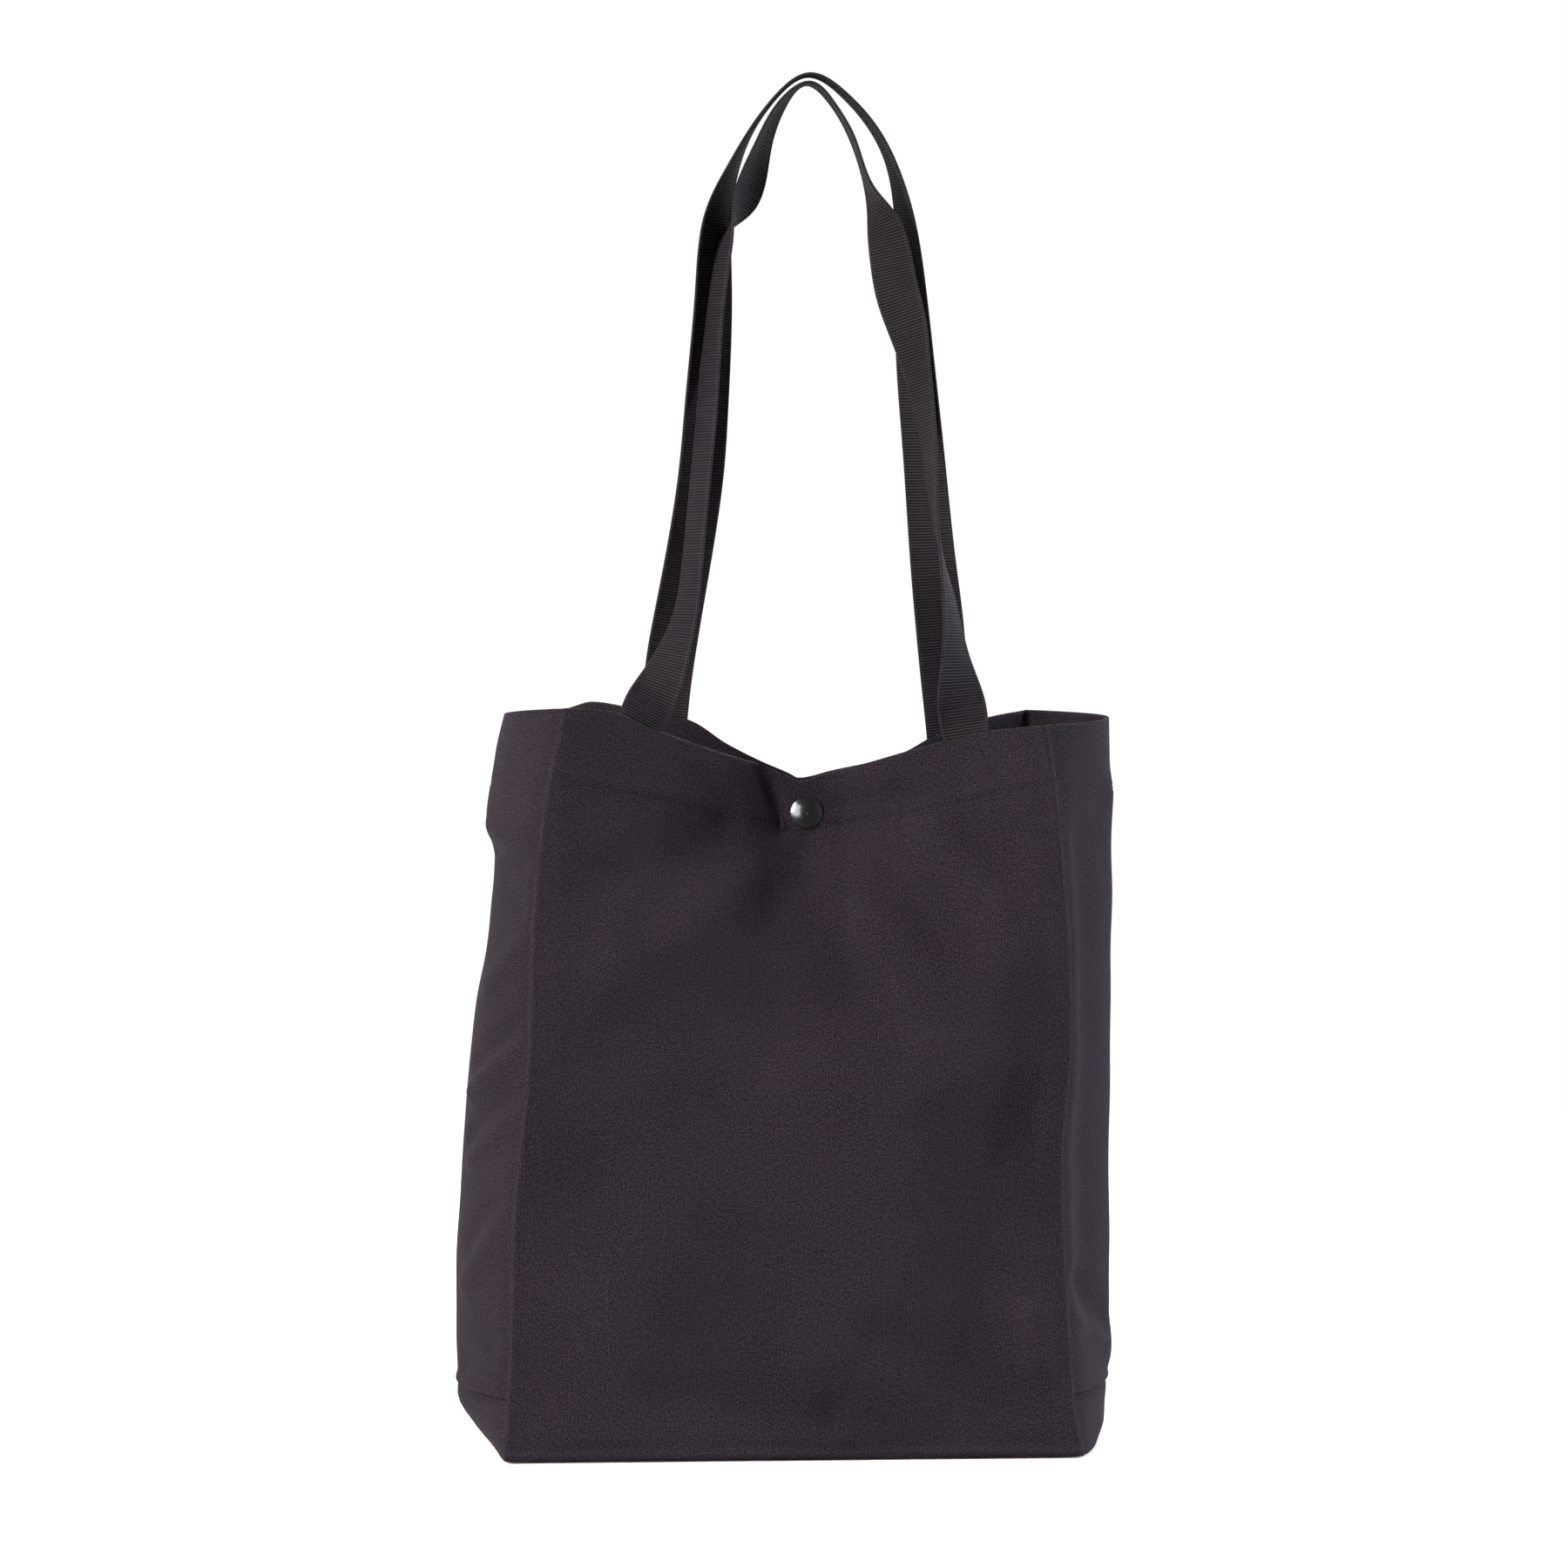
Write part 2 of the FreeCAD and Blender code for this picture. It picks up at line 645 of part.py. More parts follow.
pieces = []
for face, side in (("front", -1), ("rear", 1)):
    spacing = f"Sizes.{face}_spacing"
    pieces.append(make_panel(f"{face}_panel", side))
    pieces.append(make_facing(f"{face}_facing", side))
    pieces.append(make_binding(f"{face}_seam_binding", side))
    pieces.append(make_patch(f"{face}_snap_patch", side))
    for end, way in (("left", -1), ("right", 1)):
        pieces.append(make_handle_end(f"{face}_handle_end_{end}", side, way, spacing))
    nesting = "Sizes.apex_nesting" if face == "front" else "0"
    apex = size(f"Sizes.overall_height - Sizes.web_thick / 2 - {nesting}")
    pieces.append(
        make_loop(f"{face}_handle_loop", side, size(spacing), size(f"Sizes.{face}_shoulder"), apex)
    )
for end, way in (("left", -1), ("right", 1)):
    pieces.append(make_gusset(f"{end}_gusset", way))
    pieces.append(make_side_facing(f"{end}_facing", way))
pieces.append(make_base("base_panel"))
pieces.append(make_cap())
pieces.append(make_socket())
pieces.append(make_spring())
pieces.append(make_stud())
pieces.append(make_post())

doc.recompute()

failed = [item.Name for item in doc.Objects if "Invalid" in item.State or "Error" in item.State]
failed += [
    piece.Label
    for piece in pieces
    if piece.Shape.isNull() or not piece.Shape.isValid() or len(piece.Shape.Solids) != 1
]
if failed:
    sys.exit(f"not made: {failed}")

os.makedirs("parts", exist_ok=True)
for piece in pieces:
    piece.Shape.exportStep(f"parts/{piece.Label}.step")
    box = piece.Shape.BoundBox
    print(
        f"{piece.Label:26s} {piece.Shape.Volume:10.1f} mm3"
        f"  x {box.XMin:8.2f} {box.XMax:8.2f}"
        f"  y {box.YMin:8.2f} {box.YMax:8.2f}"
        f"  z {box.ZMin:8.2f} {box.ZMax:8.2f}"
    )
for face, side in (("front", -1), ("rear", 1)):
    spacing = size(f"Sizes.{face}_spacing")
    reach = math.cos(PANEL_ANGLE) * size("Sizes.web_width / 2")
    depth = size(panel_y(MOUTH, f"({spacing / 2 + reach})")) + size("Sizes.swing_ahead")
    print(f"{face} handle swings about x at y {side * depth:.2f}, z {size('Sizes.swing_level'):.2f}")
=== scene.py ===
"""Tote bag of dark woven cloth with webbing handles: the looks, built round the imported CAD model.

Every shape starts from the CAD node that it stands for. The short lists of stations below say how far
the cloth slumps away from that shape, in millimetres, at a share of the way up the bag.
"""
import json
import math

import bpy
import mathutils
import numpy as np
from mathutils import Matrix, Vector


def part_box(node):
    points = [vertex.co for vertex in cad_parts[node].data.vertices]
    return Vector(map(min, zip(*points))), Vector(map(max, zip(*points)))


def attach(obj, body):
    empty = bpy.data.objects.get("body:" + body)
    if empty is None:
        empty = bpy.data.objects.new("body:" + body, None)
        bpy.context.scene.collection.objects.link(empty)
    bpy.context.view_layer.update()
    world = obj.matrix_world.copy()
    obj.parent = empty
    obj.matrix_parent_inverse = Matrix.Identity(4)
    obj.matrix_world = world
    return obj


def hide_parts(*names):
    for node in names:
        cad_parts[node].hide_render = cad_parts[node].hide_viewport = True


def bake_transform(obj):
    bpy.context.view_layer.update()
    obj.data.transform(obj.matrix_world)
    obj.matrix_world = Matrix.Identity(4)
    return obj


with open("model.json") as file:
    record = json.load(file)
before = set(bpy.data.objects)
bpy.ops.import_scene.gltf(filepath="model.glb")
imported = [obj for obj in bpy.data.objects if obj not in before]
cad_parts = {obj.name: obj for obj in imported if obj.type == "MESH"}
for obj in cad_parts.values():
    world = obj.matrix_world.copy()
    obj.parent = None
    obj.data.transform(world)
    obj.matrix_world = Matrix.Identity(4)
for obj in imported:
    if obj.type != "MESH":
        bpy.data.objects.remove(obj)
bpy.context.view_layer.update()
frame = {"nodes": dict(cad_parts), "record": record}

MM = 0.001


def cad_box(node):
    """Lowest and highest corner of a CAD node, in millimetres."""
    low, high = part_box(node)
    return np.array(low) / MM, np.array(high) / MM


# Sizes of the CAD model, in millimetres.
PANEL_LOW, PANEL_HIGH = cad_box("front_panel")
GUSSET_LOW, GUSSET_HIGH = cad_box("right_gusset")
FACING_LOW, FACING_HIGH = cad_box("right_facing")
CAP_LOW, CAP_HIGH = cad_box("snap_cap")
FRONT_END_LOW, FRONT_END_HIGH = cad_box("front_handle_end_right")
REAR_END_LOW, REAR_END_HIGH = cad_box("rear_handle_end_right")

HEM = PANEL_HIGH[2]
BASE_HALF = PANEL_HIGH[0]
MOUTH_HALF = GUSSET_LOW[0]
BASE_Y = -PANEL_LOW[1]
MOUTH_Y = BASE_Y - 6.0
PINCH_Y = -PANEL_HIGH[1] + 0.9
CREST = GUSSET_HIGH[0]
TURN_UP = cad_box("base_panel")[1][2]
FRONT_TOP = cad_box("front_handle_loop")[1][2]
REAR_TOP = cad_box("rear_handle_loop")[1][2]
BAND = FACING_HIGH[2] - FACING_LOW[2]
SNAP_Z = (CAP_LOW[2] + CAP_HIGH[2]) / 2

# Cloth, webbing, tape and thread, in millimetres. A handle's middle lies STRAP_INSET inside the cloth; it is
# sewn up to the height STRAP_SEWN and leans to the apex above STRAP_FREE.
CLOTH = 0.9
WEB_WIDTH = 25.6
WEB_THICK = 1.6
WEB_YARN = 0.55
RIB = 1.5
WARP_PITCH = 1.05
WEFT_PITCH = 0.68
TAPE_HALF = 4
STITCH_PITCH = 3.0
STITCH_LENGTH = 2.1
STITCH_RADIUS = 0.27
STRAP_INSET = 1.35
STRAP_SEWN = 376
STRAP_FREE = 378

# How the cloth slumps: (share of the hem's height, offset in mm from the CAD edge).
LEFT_LEAN = [(0, -9), (0.1, -9), (0.32, -12), (0.52, -10), (0.75, -12.5), (0.9, -9.5), (1, -4)]
RIGHT_LEAN = [(0, -8), (0.08, -12), (0.2, -12), (0.39, -10), (0.58, 0), (0.7, 2), (0.9, 0), (1, -3)]
LEFT_CREST = [(0, 7), (0.03, -5), (0.065, -13), (0.2, -13.5), (0.34, -11.5), (0.47, -8), (0.6, -2.5),
              (0.72, 5.6), (0.8, 8), (0.85, 4), (0.94, 8), (1, 13.5)]
RIGHT_CREST = [(0, -17), (0.03, -12.5), (0.11, -11.8), (0.25, -12.6), (0.5, -13.6), (0.65, -12.6),
               (0.78, -13), (0.94, -11), (1, -11.5)]
# How far each panel has come in from the base line towards the snap: (height in mm, share).
PINCH_RISE = [(0, 0), (140, 0.01), (185, 0.08), (250, 0.45), (300, 0.85), (318, 0.97), (330, 1), (400, 1)]
# Height of the hem above the CAD's mouth corners, in mm, at a share of the half width, left to right.
FRONT_HEM = [(-1, 4), (-0.86, 2.5), (-0.6, -10.2), (-0.39, -20), (-0.2, -28.2), (-0.07, -35),
             (-0.02, -37.6), (0.03, -36.2), (0.09, -33.6), (0.22, -28.8), (0.4, -21.6), (0.58, -14.6),
             (0.76, -9), (1, -5)]
REAR_HEM = [(-1, -3), (-0.9, 1), (-0.68, -3), (-0.49, -7), (-0.33, -19), (-0.2, -27), (-0.07, -34),
            (-0.02, -37), (0.03, -36), (0.1, -33.5), (0.42, -24.5), (0.55, -16.5), (0.82, -7), (1, -4)]
# Height of the stitch line against its height at the mouth corners, in mm, at a share of the half width.
STITCH_DIP = [(-1, 0.5), (-0.76, -6), (-0.52, -13.2), (-0.26, -21), (-0.1, -25), (0, -26.5), (0.1, -25.4),
              (0.26, -22.5), (0.5, -16), (0.8, -6.5), (1, 0)]

# Soft folds of the panels: start x, z, end x, z, half width, height (out of the bag is positive).
FRONT_FOLDS = [(-30, 366, -11, 322, 5, -5.0), (-48, 362, -28, 322, 10, 3.2), (14, 348, 46, 352, 10, 2.6),
               (10, 316, 66, 240, 18, 5.6), (-14, 316, -82, 262, 15, 6.0), (-40, 330, -112, 300, 13, -4.2),
               (126, 296, 66, 190, 26, 8.5), (68, 215, 16, 10, 30, 7.4), (106, 244, 76, 30, 26, -6.0),
               (-98, 330, -100, 240, 15, 5.2), (36, 72, 4, 14, 12, -3.6), (60, 332, 104, 286, 12, 4.2),
               (-60, 160, -112, 40, 28, 5.4), (116, 84, 122, 44, 9, 3.4), (-20, 240, -60, 130, 30, -4.4),
               (-90, 34, 40, 22, 14, -3.2)]
REAR_FOLDS = [(34, 366, 12, 331, 7, -2.6), (-20, 322, -84, 240, 15, 2.4), (14, 320, 78, 250, 16, 2.0),
              (-124, 280, -70, 150, 15, 2.6), (-136, 240, -96, 110, 18, -4.0), (60, 140, 104, 36, 22, -2.0),
              (100, 330, 116, 220, 16, 2.2), (-10, 150, 20, 60, 26, 1.6)]
# Soft folds of the gussets, in y and z.
LEFT_FOLDS = [(-60, 312, 4, 314, 4, -2.4), (-60, 325, -6, 327, 7, 1.8), (-54, 230, -20, 204, 5, -3.4),
              (-54, 214, -18, 186, 6, 4.0), (-54, 194, -18, 166, 5, -3.6), (-52, 176, -22, 150, 6, 2.6),
              (-50, 60, -14, 44, 8, -2.4), (-50, 270, -22, 242, 8, 2.8), (-48, 138, -24, 108, 6, -2.6),
              (-50, 118, -20, 84, 7, 2.8), (-52, 286, -24, 300, 6, -1.8), (20, 250, 50, 150, 14, 2.4)]
RIGHT_FOLDS = [(-16, 352, -14, 40, 10, 3.2), (-42, 330, -40, 60, 9, -3.6), (30, 280, 44, 120, 14, 2.4),
               (-52, 96, -18, 62, 7, -3.4), (-50, 72, -20, 50, 6, 2.4)]

# The handles' legs, from the hem up: (height, x, turn of the webbing in degrees). The apex follows.
FRONT_LEFT_LEG = [(356, -98, 0), (368, -93.6, 0), (384, -86.8, 4), (396, -80.6, 24), (408, -74.6, 43),
                  (425, -67.6, 57), (441, -63, 64), (460, -60.3, 68), (500, -56.3, 69), (548, -51.6, 69),
                  (600, -47.6, 70), (634, -41, 80), (652, -32, 124), (679, -22.8, 113), (701, -13, 102)]
FRONT_RIGHT_LEG = [(352, 84, 0), (362, 83.6, 0), (374, 81.8, 0), (416, 76.6, 58), (448, 73, 74),
                   (484, 67, 90), (531, 63, 104), (567, 57, 122), (590, 51.5, 142), (608, 46.5, 148),
                   (638, 40.6, 132), (659, 32.6, 96), (683, 24.6, 91), (702, 14, 90)]
REAR_LEFT_LEG = [(350, -74.5, 0), (360, -74.5, 0), (371, -74, 0), (400, -72, 4), (437, -66.3, 8),
                 (502, -55.5, 18), (548, -51.5, 25), (602, -48.2, 39), (643, -46, 54), (668, -38.5, 74),
                 (686, -30, 84), (704, -17.5, 88)]
REAR_RIGHT_LEG = [(348, 77.5, 0), (358, 77.5, 0), (369, 77.3, 0), (426, 72.5, 6), (467, 67.8, 24),
                  (521, 62.6, 36), (567, 58, 43), (614, 54.5, 58), (645, 51.4, 72), (671, 44.8, 83),
                  (690, 35, 86), (707, 20, 88)]


def line(stations):
    """A smooth line through (place, value) stations, that never swings past them."""
    place = np.array([s[0] for s in stations], float)
    value = np.array([s[1] for s in stations], float)
    step = np.diff(place)
    slope = np.diff(value) / step
    tangent = np.zeros(len(place))
    tangent[0] = slope[0]
    tangent[-1] = slope[-1]
    same_way = slope[:-1] * slope[1:] > 0
    mean = 2 * slope[:-1] * slope[1:] / np.where(same_way, slope[:-1] + slope[1:], 1)
    tangent[1:-1] = np.where(same_way, mean, 0)

    def at(x):
        x = np.clip(np.asarray(x, float), place[0], place[-1])
        k = np.clip(np.searchsorted(place, x) - 1, 0, len(step) - 1)
        t = (x - place[k]) / step[k]
        rise = value[k] * (1 + 2 * t) * (1 - t) ** 2 + value[k + 1] * t**2 * (3 - 2 * t)
        return rise + step[k] * (tangent[k] * t * (1 - t) ** 2 - tangent[k + 1] * t**2 * (1 - t))

    return at


def ease(t):
    t = np.clip(t, 0, 1)
    return t * t * (3 - 2 * t)


def folds(a, b, table):
    """Sum of soft ridges and valleys, each along a short line that fades out at both ends."""
    total = np.zeros_like(a, dtype=float)
    for a0, b0, a1, b1, width, height in table:
        length = math.hypot(a1 - a0, b1 - b0)
        along = ((a - a0) * (a1 - a0) + (b - b0) * (b1 - b0)) / length
        across = ((a - a0) * (b1 - b0) - (b - b0) * (a1 - a0)) / length
        fade = ease((along + width) / (2 * width)) * ease((length + width - along) / (2 * width))
        total += height * np.exp(-((across / width) ** 2)) * fade
    return total


def unevenness(a, b, seed, height):
    """Slow irregular waves, the same each run."""
    draw = np.random.default_rng(seed)
    total = np.zeros_like(a, dtype=float)
    for _ in range(9):
        angle, phase = draw.uniform(0, 2 * math.pi, 2)
        wave = draw.uniform(38, 120)
        turn = 2 * math.pi * (a * math.cos(angle) + b * math.sin(angle)) / wave
        total += np.sin(turn + phase) * wave / 120
    return total * height / 3


def places(length, step, edge):
    """Places from 0 to length: the edge distances at both ends, and even steps between."""
    inner = np.linspace(edge[-1], length - edge[-1], max(2, int((length - 2 * edge[-1]) / step)))
    return np.concatenate([edge[:-1], inner, length - np.array(edge[:-1])[::-1]])


left_lean = line(LEFT_LEAN)
right_lean = line(RIGHT_LEAN)
left_crest = line(LEFT_CREST)
right_crest = line(RIGHT_CREST)
pinch_rise = line(PINCH_RISE)
front_hem = line(FRONT_HEM)
rear_hem = line(REAR_HEM)
stitch_dip = line(STITCH_DIP)


def seam_x(side, z):
    """x of the seam between panel and gusset, side -1 left and 1 right."""
    share = np.clip(z / HEM, 0, 1)
    lean = left_lean(share) if side < 0 else right_lean(share)
    return side * (BASE_HALF + (MOUTH_HALF - BASE_HALF) * share) + lean


def seam_y(z):
    return BASE_Y + (MOUTH_Y - BASE_Y) * np.clip(z / HEM, 0, 1)


def crest_x(side, z):
    share = np.clip(z / HEM, 0, 1)
    return side * CREST + (left_crest(share) if side < 0 else right_crest(share))


def hem_z(face, x):
    share = np.clip(x / MOUTH_HALF, -1, 1)
    return HEM + (front_hem(share) if face < 0 else rear_hem(share))


def panel_depth(x, z):
    """Distance of a panel's outer side from the middle plane, without folds."""
    share = np.clip(np.abs(x) / MOUTH_HALF, 0, 1.25)
    start = 16 / MOUTH_HALF
    bent = np.sqrt(np.clip(share - start, 0, None) ** 2 + 0.05**2) - 0.05
    at_hem = PINCH_Y + (MOUTH_Y - PINCH_Y) * np.clip(bent / (1 - start - 0.03), 0, 1.2)
    flat = seam_y(z)
    at_hem = np.minimum(at_hem, flat)
    return flat + (at_hem - flat) * pinch_rise(z)


def edge_fade(x, z):
    """1 inside a panel, 0 at its seams, so that folds run out before a seam."""
    room = np.minimum(x - seam_x(-1, z), seam_x(1, z) - x)
    return ease(room / 16) * ease(z / 14)


def near_snap(x, z):
    return np.exp(-(((x / 12) ** 2 + ((z - SNAP_Z) / 12) ** 2) ** 2))


def end_box(face):
    """Box of the right-hand handle end, of the front (-1) or the rear (1)."""
    return (FRONT_END_LOW, FRONT_END_HIGH) if face < 0 else (REAR_END_LOW, REAR_END_HIGH)


def near_handle(face, x, z):
    """1 where a handle end is sewn in, which keeps the cloth flat."""
    low, high = end_box(face)
    middle = (low[0] + high[0]) / 2
    return np.exp(-(((np.abs(x) - middle) / 21) ** 4)) * ease((z - low[2] + 14) / 14)


def panel_point(face, x, z):
    """Points of a panel's outer side, at x and z in mm."""
    depth = panel_depth(x, z)
    table = FRONT_FOLDS if face < 0 else REAR_FOLDS
    relief = folds(x, z, table) + unevenness(x, z, 11 if face < 0 else 12, 1.2)
    depth = depth + relief * edge_fade(x, z) * (1 - near_snap(x, z)) * (1 - near_handle(face, x, z))
    # The side seam: a slight ridge, the rolled edge and its puckers.
    side = np.minimum(x - seam_x(-1, z), seam_x(1, z) - x)
    depth = depth + 0.25 * np.exp(-(((side - 2.2) / 1.4) ** 2)) - 1.2 * np.exp(-((side / 0.8) ** 2))
    depth = depth + 0.22 * np.sin(z * 0.62 + 3 * np.sin(z * 0.05)) * np.exp(-((side - 7) / 6) ** 2)
    # The base seam: a ridge, a groove above it and the turned edge.
    depth = depth + 0.9 * np.exp(-(((z - 3.6) / 1.7) ** 2)) - 0.7 * np.exp(-(((z - 7.4) / 1.6) ** 2))
    depth = depth - 1.6 * np.exp(-((z - 1.0) / 0.9) ** 2)
    # The hem stitching: a groove, the band swelling above it and puckers across it.
    line_z = stitch_z(x)
    depth = depth - 0.9 * np.exp(-(((z - line_z) / 1.5) ** 2))
    depth = depth + 0.7 * np.exp(-(((z - line_z - 4.5) / 3.5) ** 2))
    pucker = np.sin(0.8 * x + 3.2 * np.sin(0.05 * x)) * (1 - near_handle(face, x, z))
    depth = depth + 0.28 * pucker * np.exp(-(((z - line_z) / 6) ** 2)) * edge_fade(x, z)
    return np.stack([x, face * depth, z], -1)


def stitch_z(x):
    """Height of the stitching that holds the facing down."""
    return HEM - BAND + stitch_dip(x / MOUTH_HALF)


def panel_grid(face):
    columns = places(1.0, 0.0085, [0, 0.0016, 0.0036, 0.007, 0.012, 0.019])
    rows = places(1.0, 0.0065, [0, 0.0018, 0.0038, 0.0062, 0.0092, 0.013, 0.019])
    top_x = seam_x(-1, HEM) + (seam_x(1, HEM) - seam_x(-1, HEM)) * columns
    top_z = hem_z(face, top_x)
    z = 1.0 + (top_z[None, :] - 1.0) * rows[:, None]
    x = seam_x(-1, z) + (seam_x(1, z) - seam_x(-1, z)) * columns[None, :]
    return panel_point(face, x, z)


def gusset_hem(side, y):
    """Height of a gusset's hem, from the front corner over the crest to the rear corner."""
    corner_x = seam_x(side, HEM)
    ends = [hem_z(-1, corner_x), HEM + (-2 if side < 0 else -4.5), hem_z(1, corner_x)]
    return np.interp(y, [-MOUTH_Y, 0, MOUTH_Y], ends)


def gusset_point(side, share, z):
    """Points of a gusset's outer side. share runs from -1 at the front seam to 1 at the rear seam."""
    half = seam_y(z) - 1.3
    inner = seam_x(side, z) - side * 0.6
    full = np.abs(share) ** 2.15
    x = inner + (crest_x(side, z) - inner) * (1 - full)
    y = share * half
    room = half * (1 - np.abs(share))
    table = LEFT_FOLDS if side < 0 else RIGHT_FOLDS
    relief = folds(y, z, table) + unevenness(y, z, 21 if side < 0 else 22, 0.9)
    relief = relief * ease(room / 12) * ease((z - 24) / 20)
    relief = relief - 1.6 * np.exp(-((room - 2.2) / 1.8) ** 2)
    relief = relief - 0.4 * np.exp(-(((z - gusset_hem(side, y) + BAND) / 1.3) ** 2))
    return np.stack([x + side * relief, y, z], -1)


def gusset_grid(side):
    columns = places(2.0, 0.04, [0, 0.012, 0.028, 0.05, 0.08]) - 1
    rows = places(1.0, 0.0065, [0, 0.0025, 0.006, 0.011, 0.018])
    y = columns * MOUTH_Y
    top = gusset_hem(side, y)
    bottom = TURN_UP - 2.2
    z = bottom + (top[None, :] - bottom) * rows[:, None]
    grid = gusset_point(side, columns[None, :] * np.ones_like(z), z)
    grid[..., 0] += side * 1.2 * np.exp(-(((z - bottom - 0.8) / 2.2) ** 2))
    return grid


def base_grid():
    """The base panel: up the left gusset, under the bag and up the right one, in one sheet."""
    columns = places(2.0, 0.05, [0, 0.02, 0.05]) - 1
    climb = np.array([0.8, 1.8, 3.2, 5, 7.5, 10.5, 14, 18, 22, 26, 29.5, 32, 34, TURN_UP])
    rows = []
    for side in (-1, 1):
        heights = climb[::-1] if side < 0 else climb
        for z in heights:
            points = gusset_point(side, columns, np.full_like(columns, z))
            points[:, 0] += side * (0.5 * math.exp(-(((z - 27) / 4) ** 2)) - 2.2 * ease((z - 29.5) / 2.5))
            rows.append(points)
        if side < 0:
            left = rows[-1]
            right = gusset_point(1, columns, np.full_like(columns, climb[0]))
            for share in np.linspace(0, 1, 112)[1:-1]:
                points = left + (right - left) * share
                lift = unevenness(points[:, 0], points[:, 1], 31, 0.25)
                points[:, 2] = np.clip(0.5 + lift * ease(share * 8) * ease((1 - share) * 8), 0.05, 1.4)
                rows.append(points)
    return np.array(rows)


def normals(grid):
    across = np.gradient(grid, axis=1)
    up = np.gradient(grid, axis=0)
    normal = np.cross(across, up)
    return normal / np.maximum(np.linalg.norm(normal, axis=-1, keepdims=True), 1e-9)


def lengths(grid, axis):
    step = np.linalg.norm(np.diff(grid, axis=axis), axis=-1)
    total = np.cumsum(step, axis=axis)
    pad = [(0, 0), (0, 0)]
    pad[axis] = (1, 0)
    return np.pad(total, pad)


def add_mesh(name, points, faces, uvs=None, indices=None):
    """A smooth mesh object, from points in millimetres and UVs in metres."""
    mesh = bpy.data.meshes.new(name)
    mesh.from_pydata((np.asarray(points) * MM).tolist(), [], faces)
    if uvs is not None:
        layer = mesh.uv_layers.new(name="Cloth")
        loops = np.zeros(len(mesh.loops), np.int32)
        mesh.loops.foreach_get("vertex_index", loops)
        layer.data.foreach_set("uv", np.asarray(uvs, np.float32)[loops].ravel())
    if indices is not None:
        mesh.polygons.foreach_set("material_index", np.asarray(indices, np.int32))
    mesh.polygons.foreach_set("use_smooth", np.ones(len(mesh.polygons), bool))
    mesh.update()
    obj = bpy.data.objects.new(name, mesh)
    bpy.context.scene.collection.objects.link(obj)
    return obj


def add_cloth(name, grid, thick, materials, flip=False):
    """A closed sheet with rounded edges. The grid is its outer side."""
    if flip:
        grid = grid[:, ::-1]
    rows, cols = grid.shape[:2]
    inner = grid - normals(grid) * thick
    u = lengths(grid, 1)
    u = u - u[:, cols // 2:cols // 2 + 1]
    v = lengths(grid, 0)
    flat_uv = np.stack([u, v], -1).reshape(-1, 2) * MM
    count = rows * cols
    index = np.arange(count).reshape(rows, cols)
    quads = np.stack([index[:-1, :-1], index[:-1, 1:], index[1:, 1:], index[1:, :-1]], -1).reshape(-1, 4)
    rim = np.concatenate([index[0, :-1], index[:-1, -1], index[-1, :0:-1], index[:0:-1, 0]])
    outer_points = grid.reshape(-1, 3)
    inner_points = inner.reshape(-1, 3)
    centre = (outer_points[rim] + inner_points[rim]) / 2
    inward = np.concatenate([index[1, :-1], index[:-1, -2], index[-2, :0:-1], index[:0:-1, 1]])
    away = outer_points[rim] - outer_points[inward]
    away = away / np.maximum(np.linalg.norm(away, axis=1, keepdims=True), 1e-9)
    middle = centre + away * thick * 0.42
    points = np.concatenate([outer_points, inner_points, middle])
    uvs = np.concatenate([flat_uv, flat_uv, flat_uv[rim]])
    following = np.roll(rim, -1)
    edge = 2 * count + np.arange(len(rim))
    next_edge = np.roll(edge, -1)
    strip_out = np.stack([following, rim, edge, next_edge], -1)
    strip_in = np.stack([next_edge, edge, rim + count, following + count], -1)
    faces = np.concatenate([quads, quads[:, ::-1] + count, strip_out, strip_in])
    indices = np.concatenate([np.zeros(len(quads)), np.ones(len(quads)), np.zeros(2 * len(rim))])
    obj = add_mesh(name, points, faces.tolist(), uvs, indices)
    for material in materials:
        obj.data.materials.append(material)
    return obj


def handle_room(face, x):
    """How far a facing stands off its panel: more where a handle end lies between them."""
    low, high = end_box(face)
    middle = (low[0] + high[0]) / 2
    return 0.35 + 2.3 * np.exp(-(((np.abs(x) - middle) / 19) ** 4))


def facing_grid(face):
    """The band inside the hem of a panel."""
    columns = np.linspace(0.012, 0.988, 110)
    top_x = seam_x(-1, HEM) + (seam_x(1, HEM) - seam_x(-1, HEM)) * columns
    rows = np.linspace(0, 1, 18)
    top = hem_z(face, top_x) - 0.3
    bottom = stitch_z(top_x) - 1.5
    z = bottom[None, :] + (top - bottom)[None, :] * rows[:, None]
    x = np.ones_like(z) * top_x[None, :]
    grid = panel_point(face, x, z)
    offset = CLOTH + handle_room(face, x) * ease(rows[:, None] * 5 + 0.1)
    grid[..., 1] -= face * offset
    return grid


def side_facing_grid(side):
    columns = np.linspace(-0.93, 0.93, 46)
    top = gusset_hem(side, columns * MOUTH_Y) - 0.3
    rows = np.linspace(0, 1, 18)
    z = top[None, :] - BAND * (1 - rows[:, None])
    grid = gusset_point(side, columns[None, :] * np.ones_like(z), z)
    grid[..., 0] -= side * (CLOTH + 0.4)
    return grid


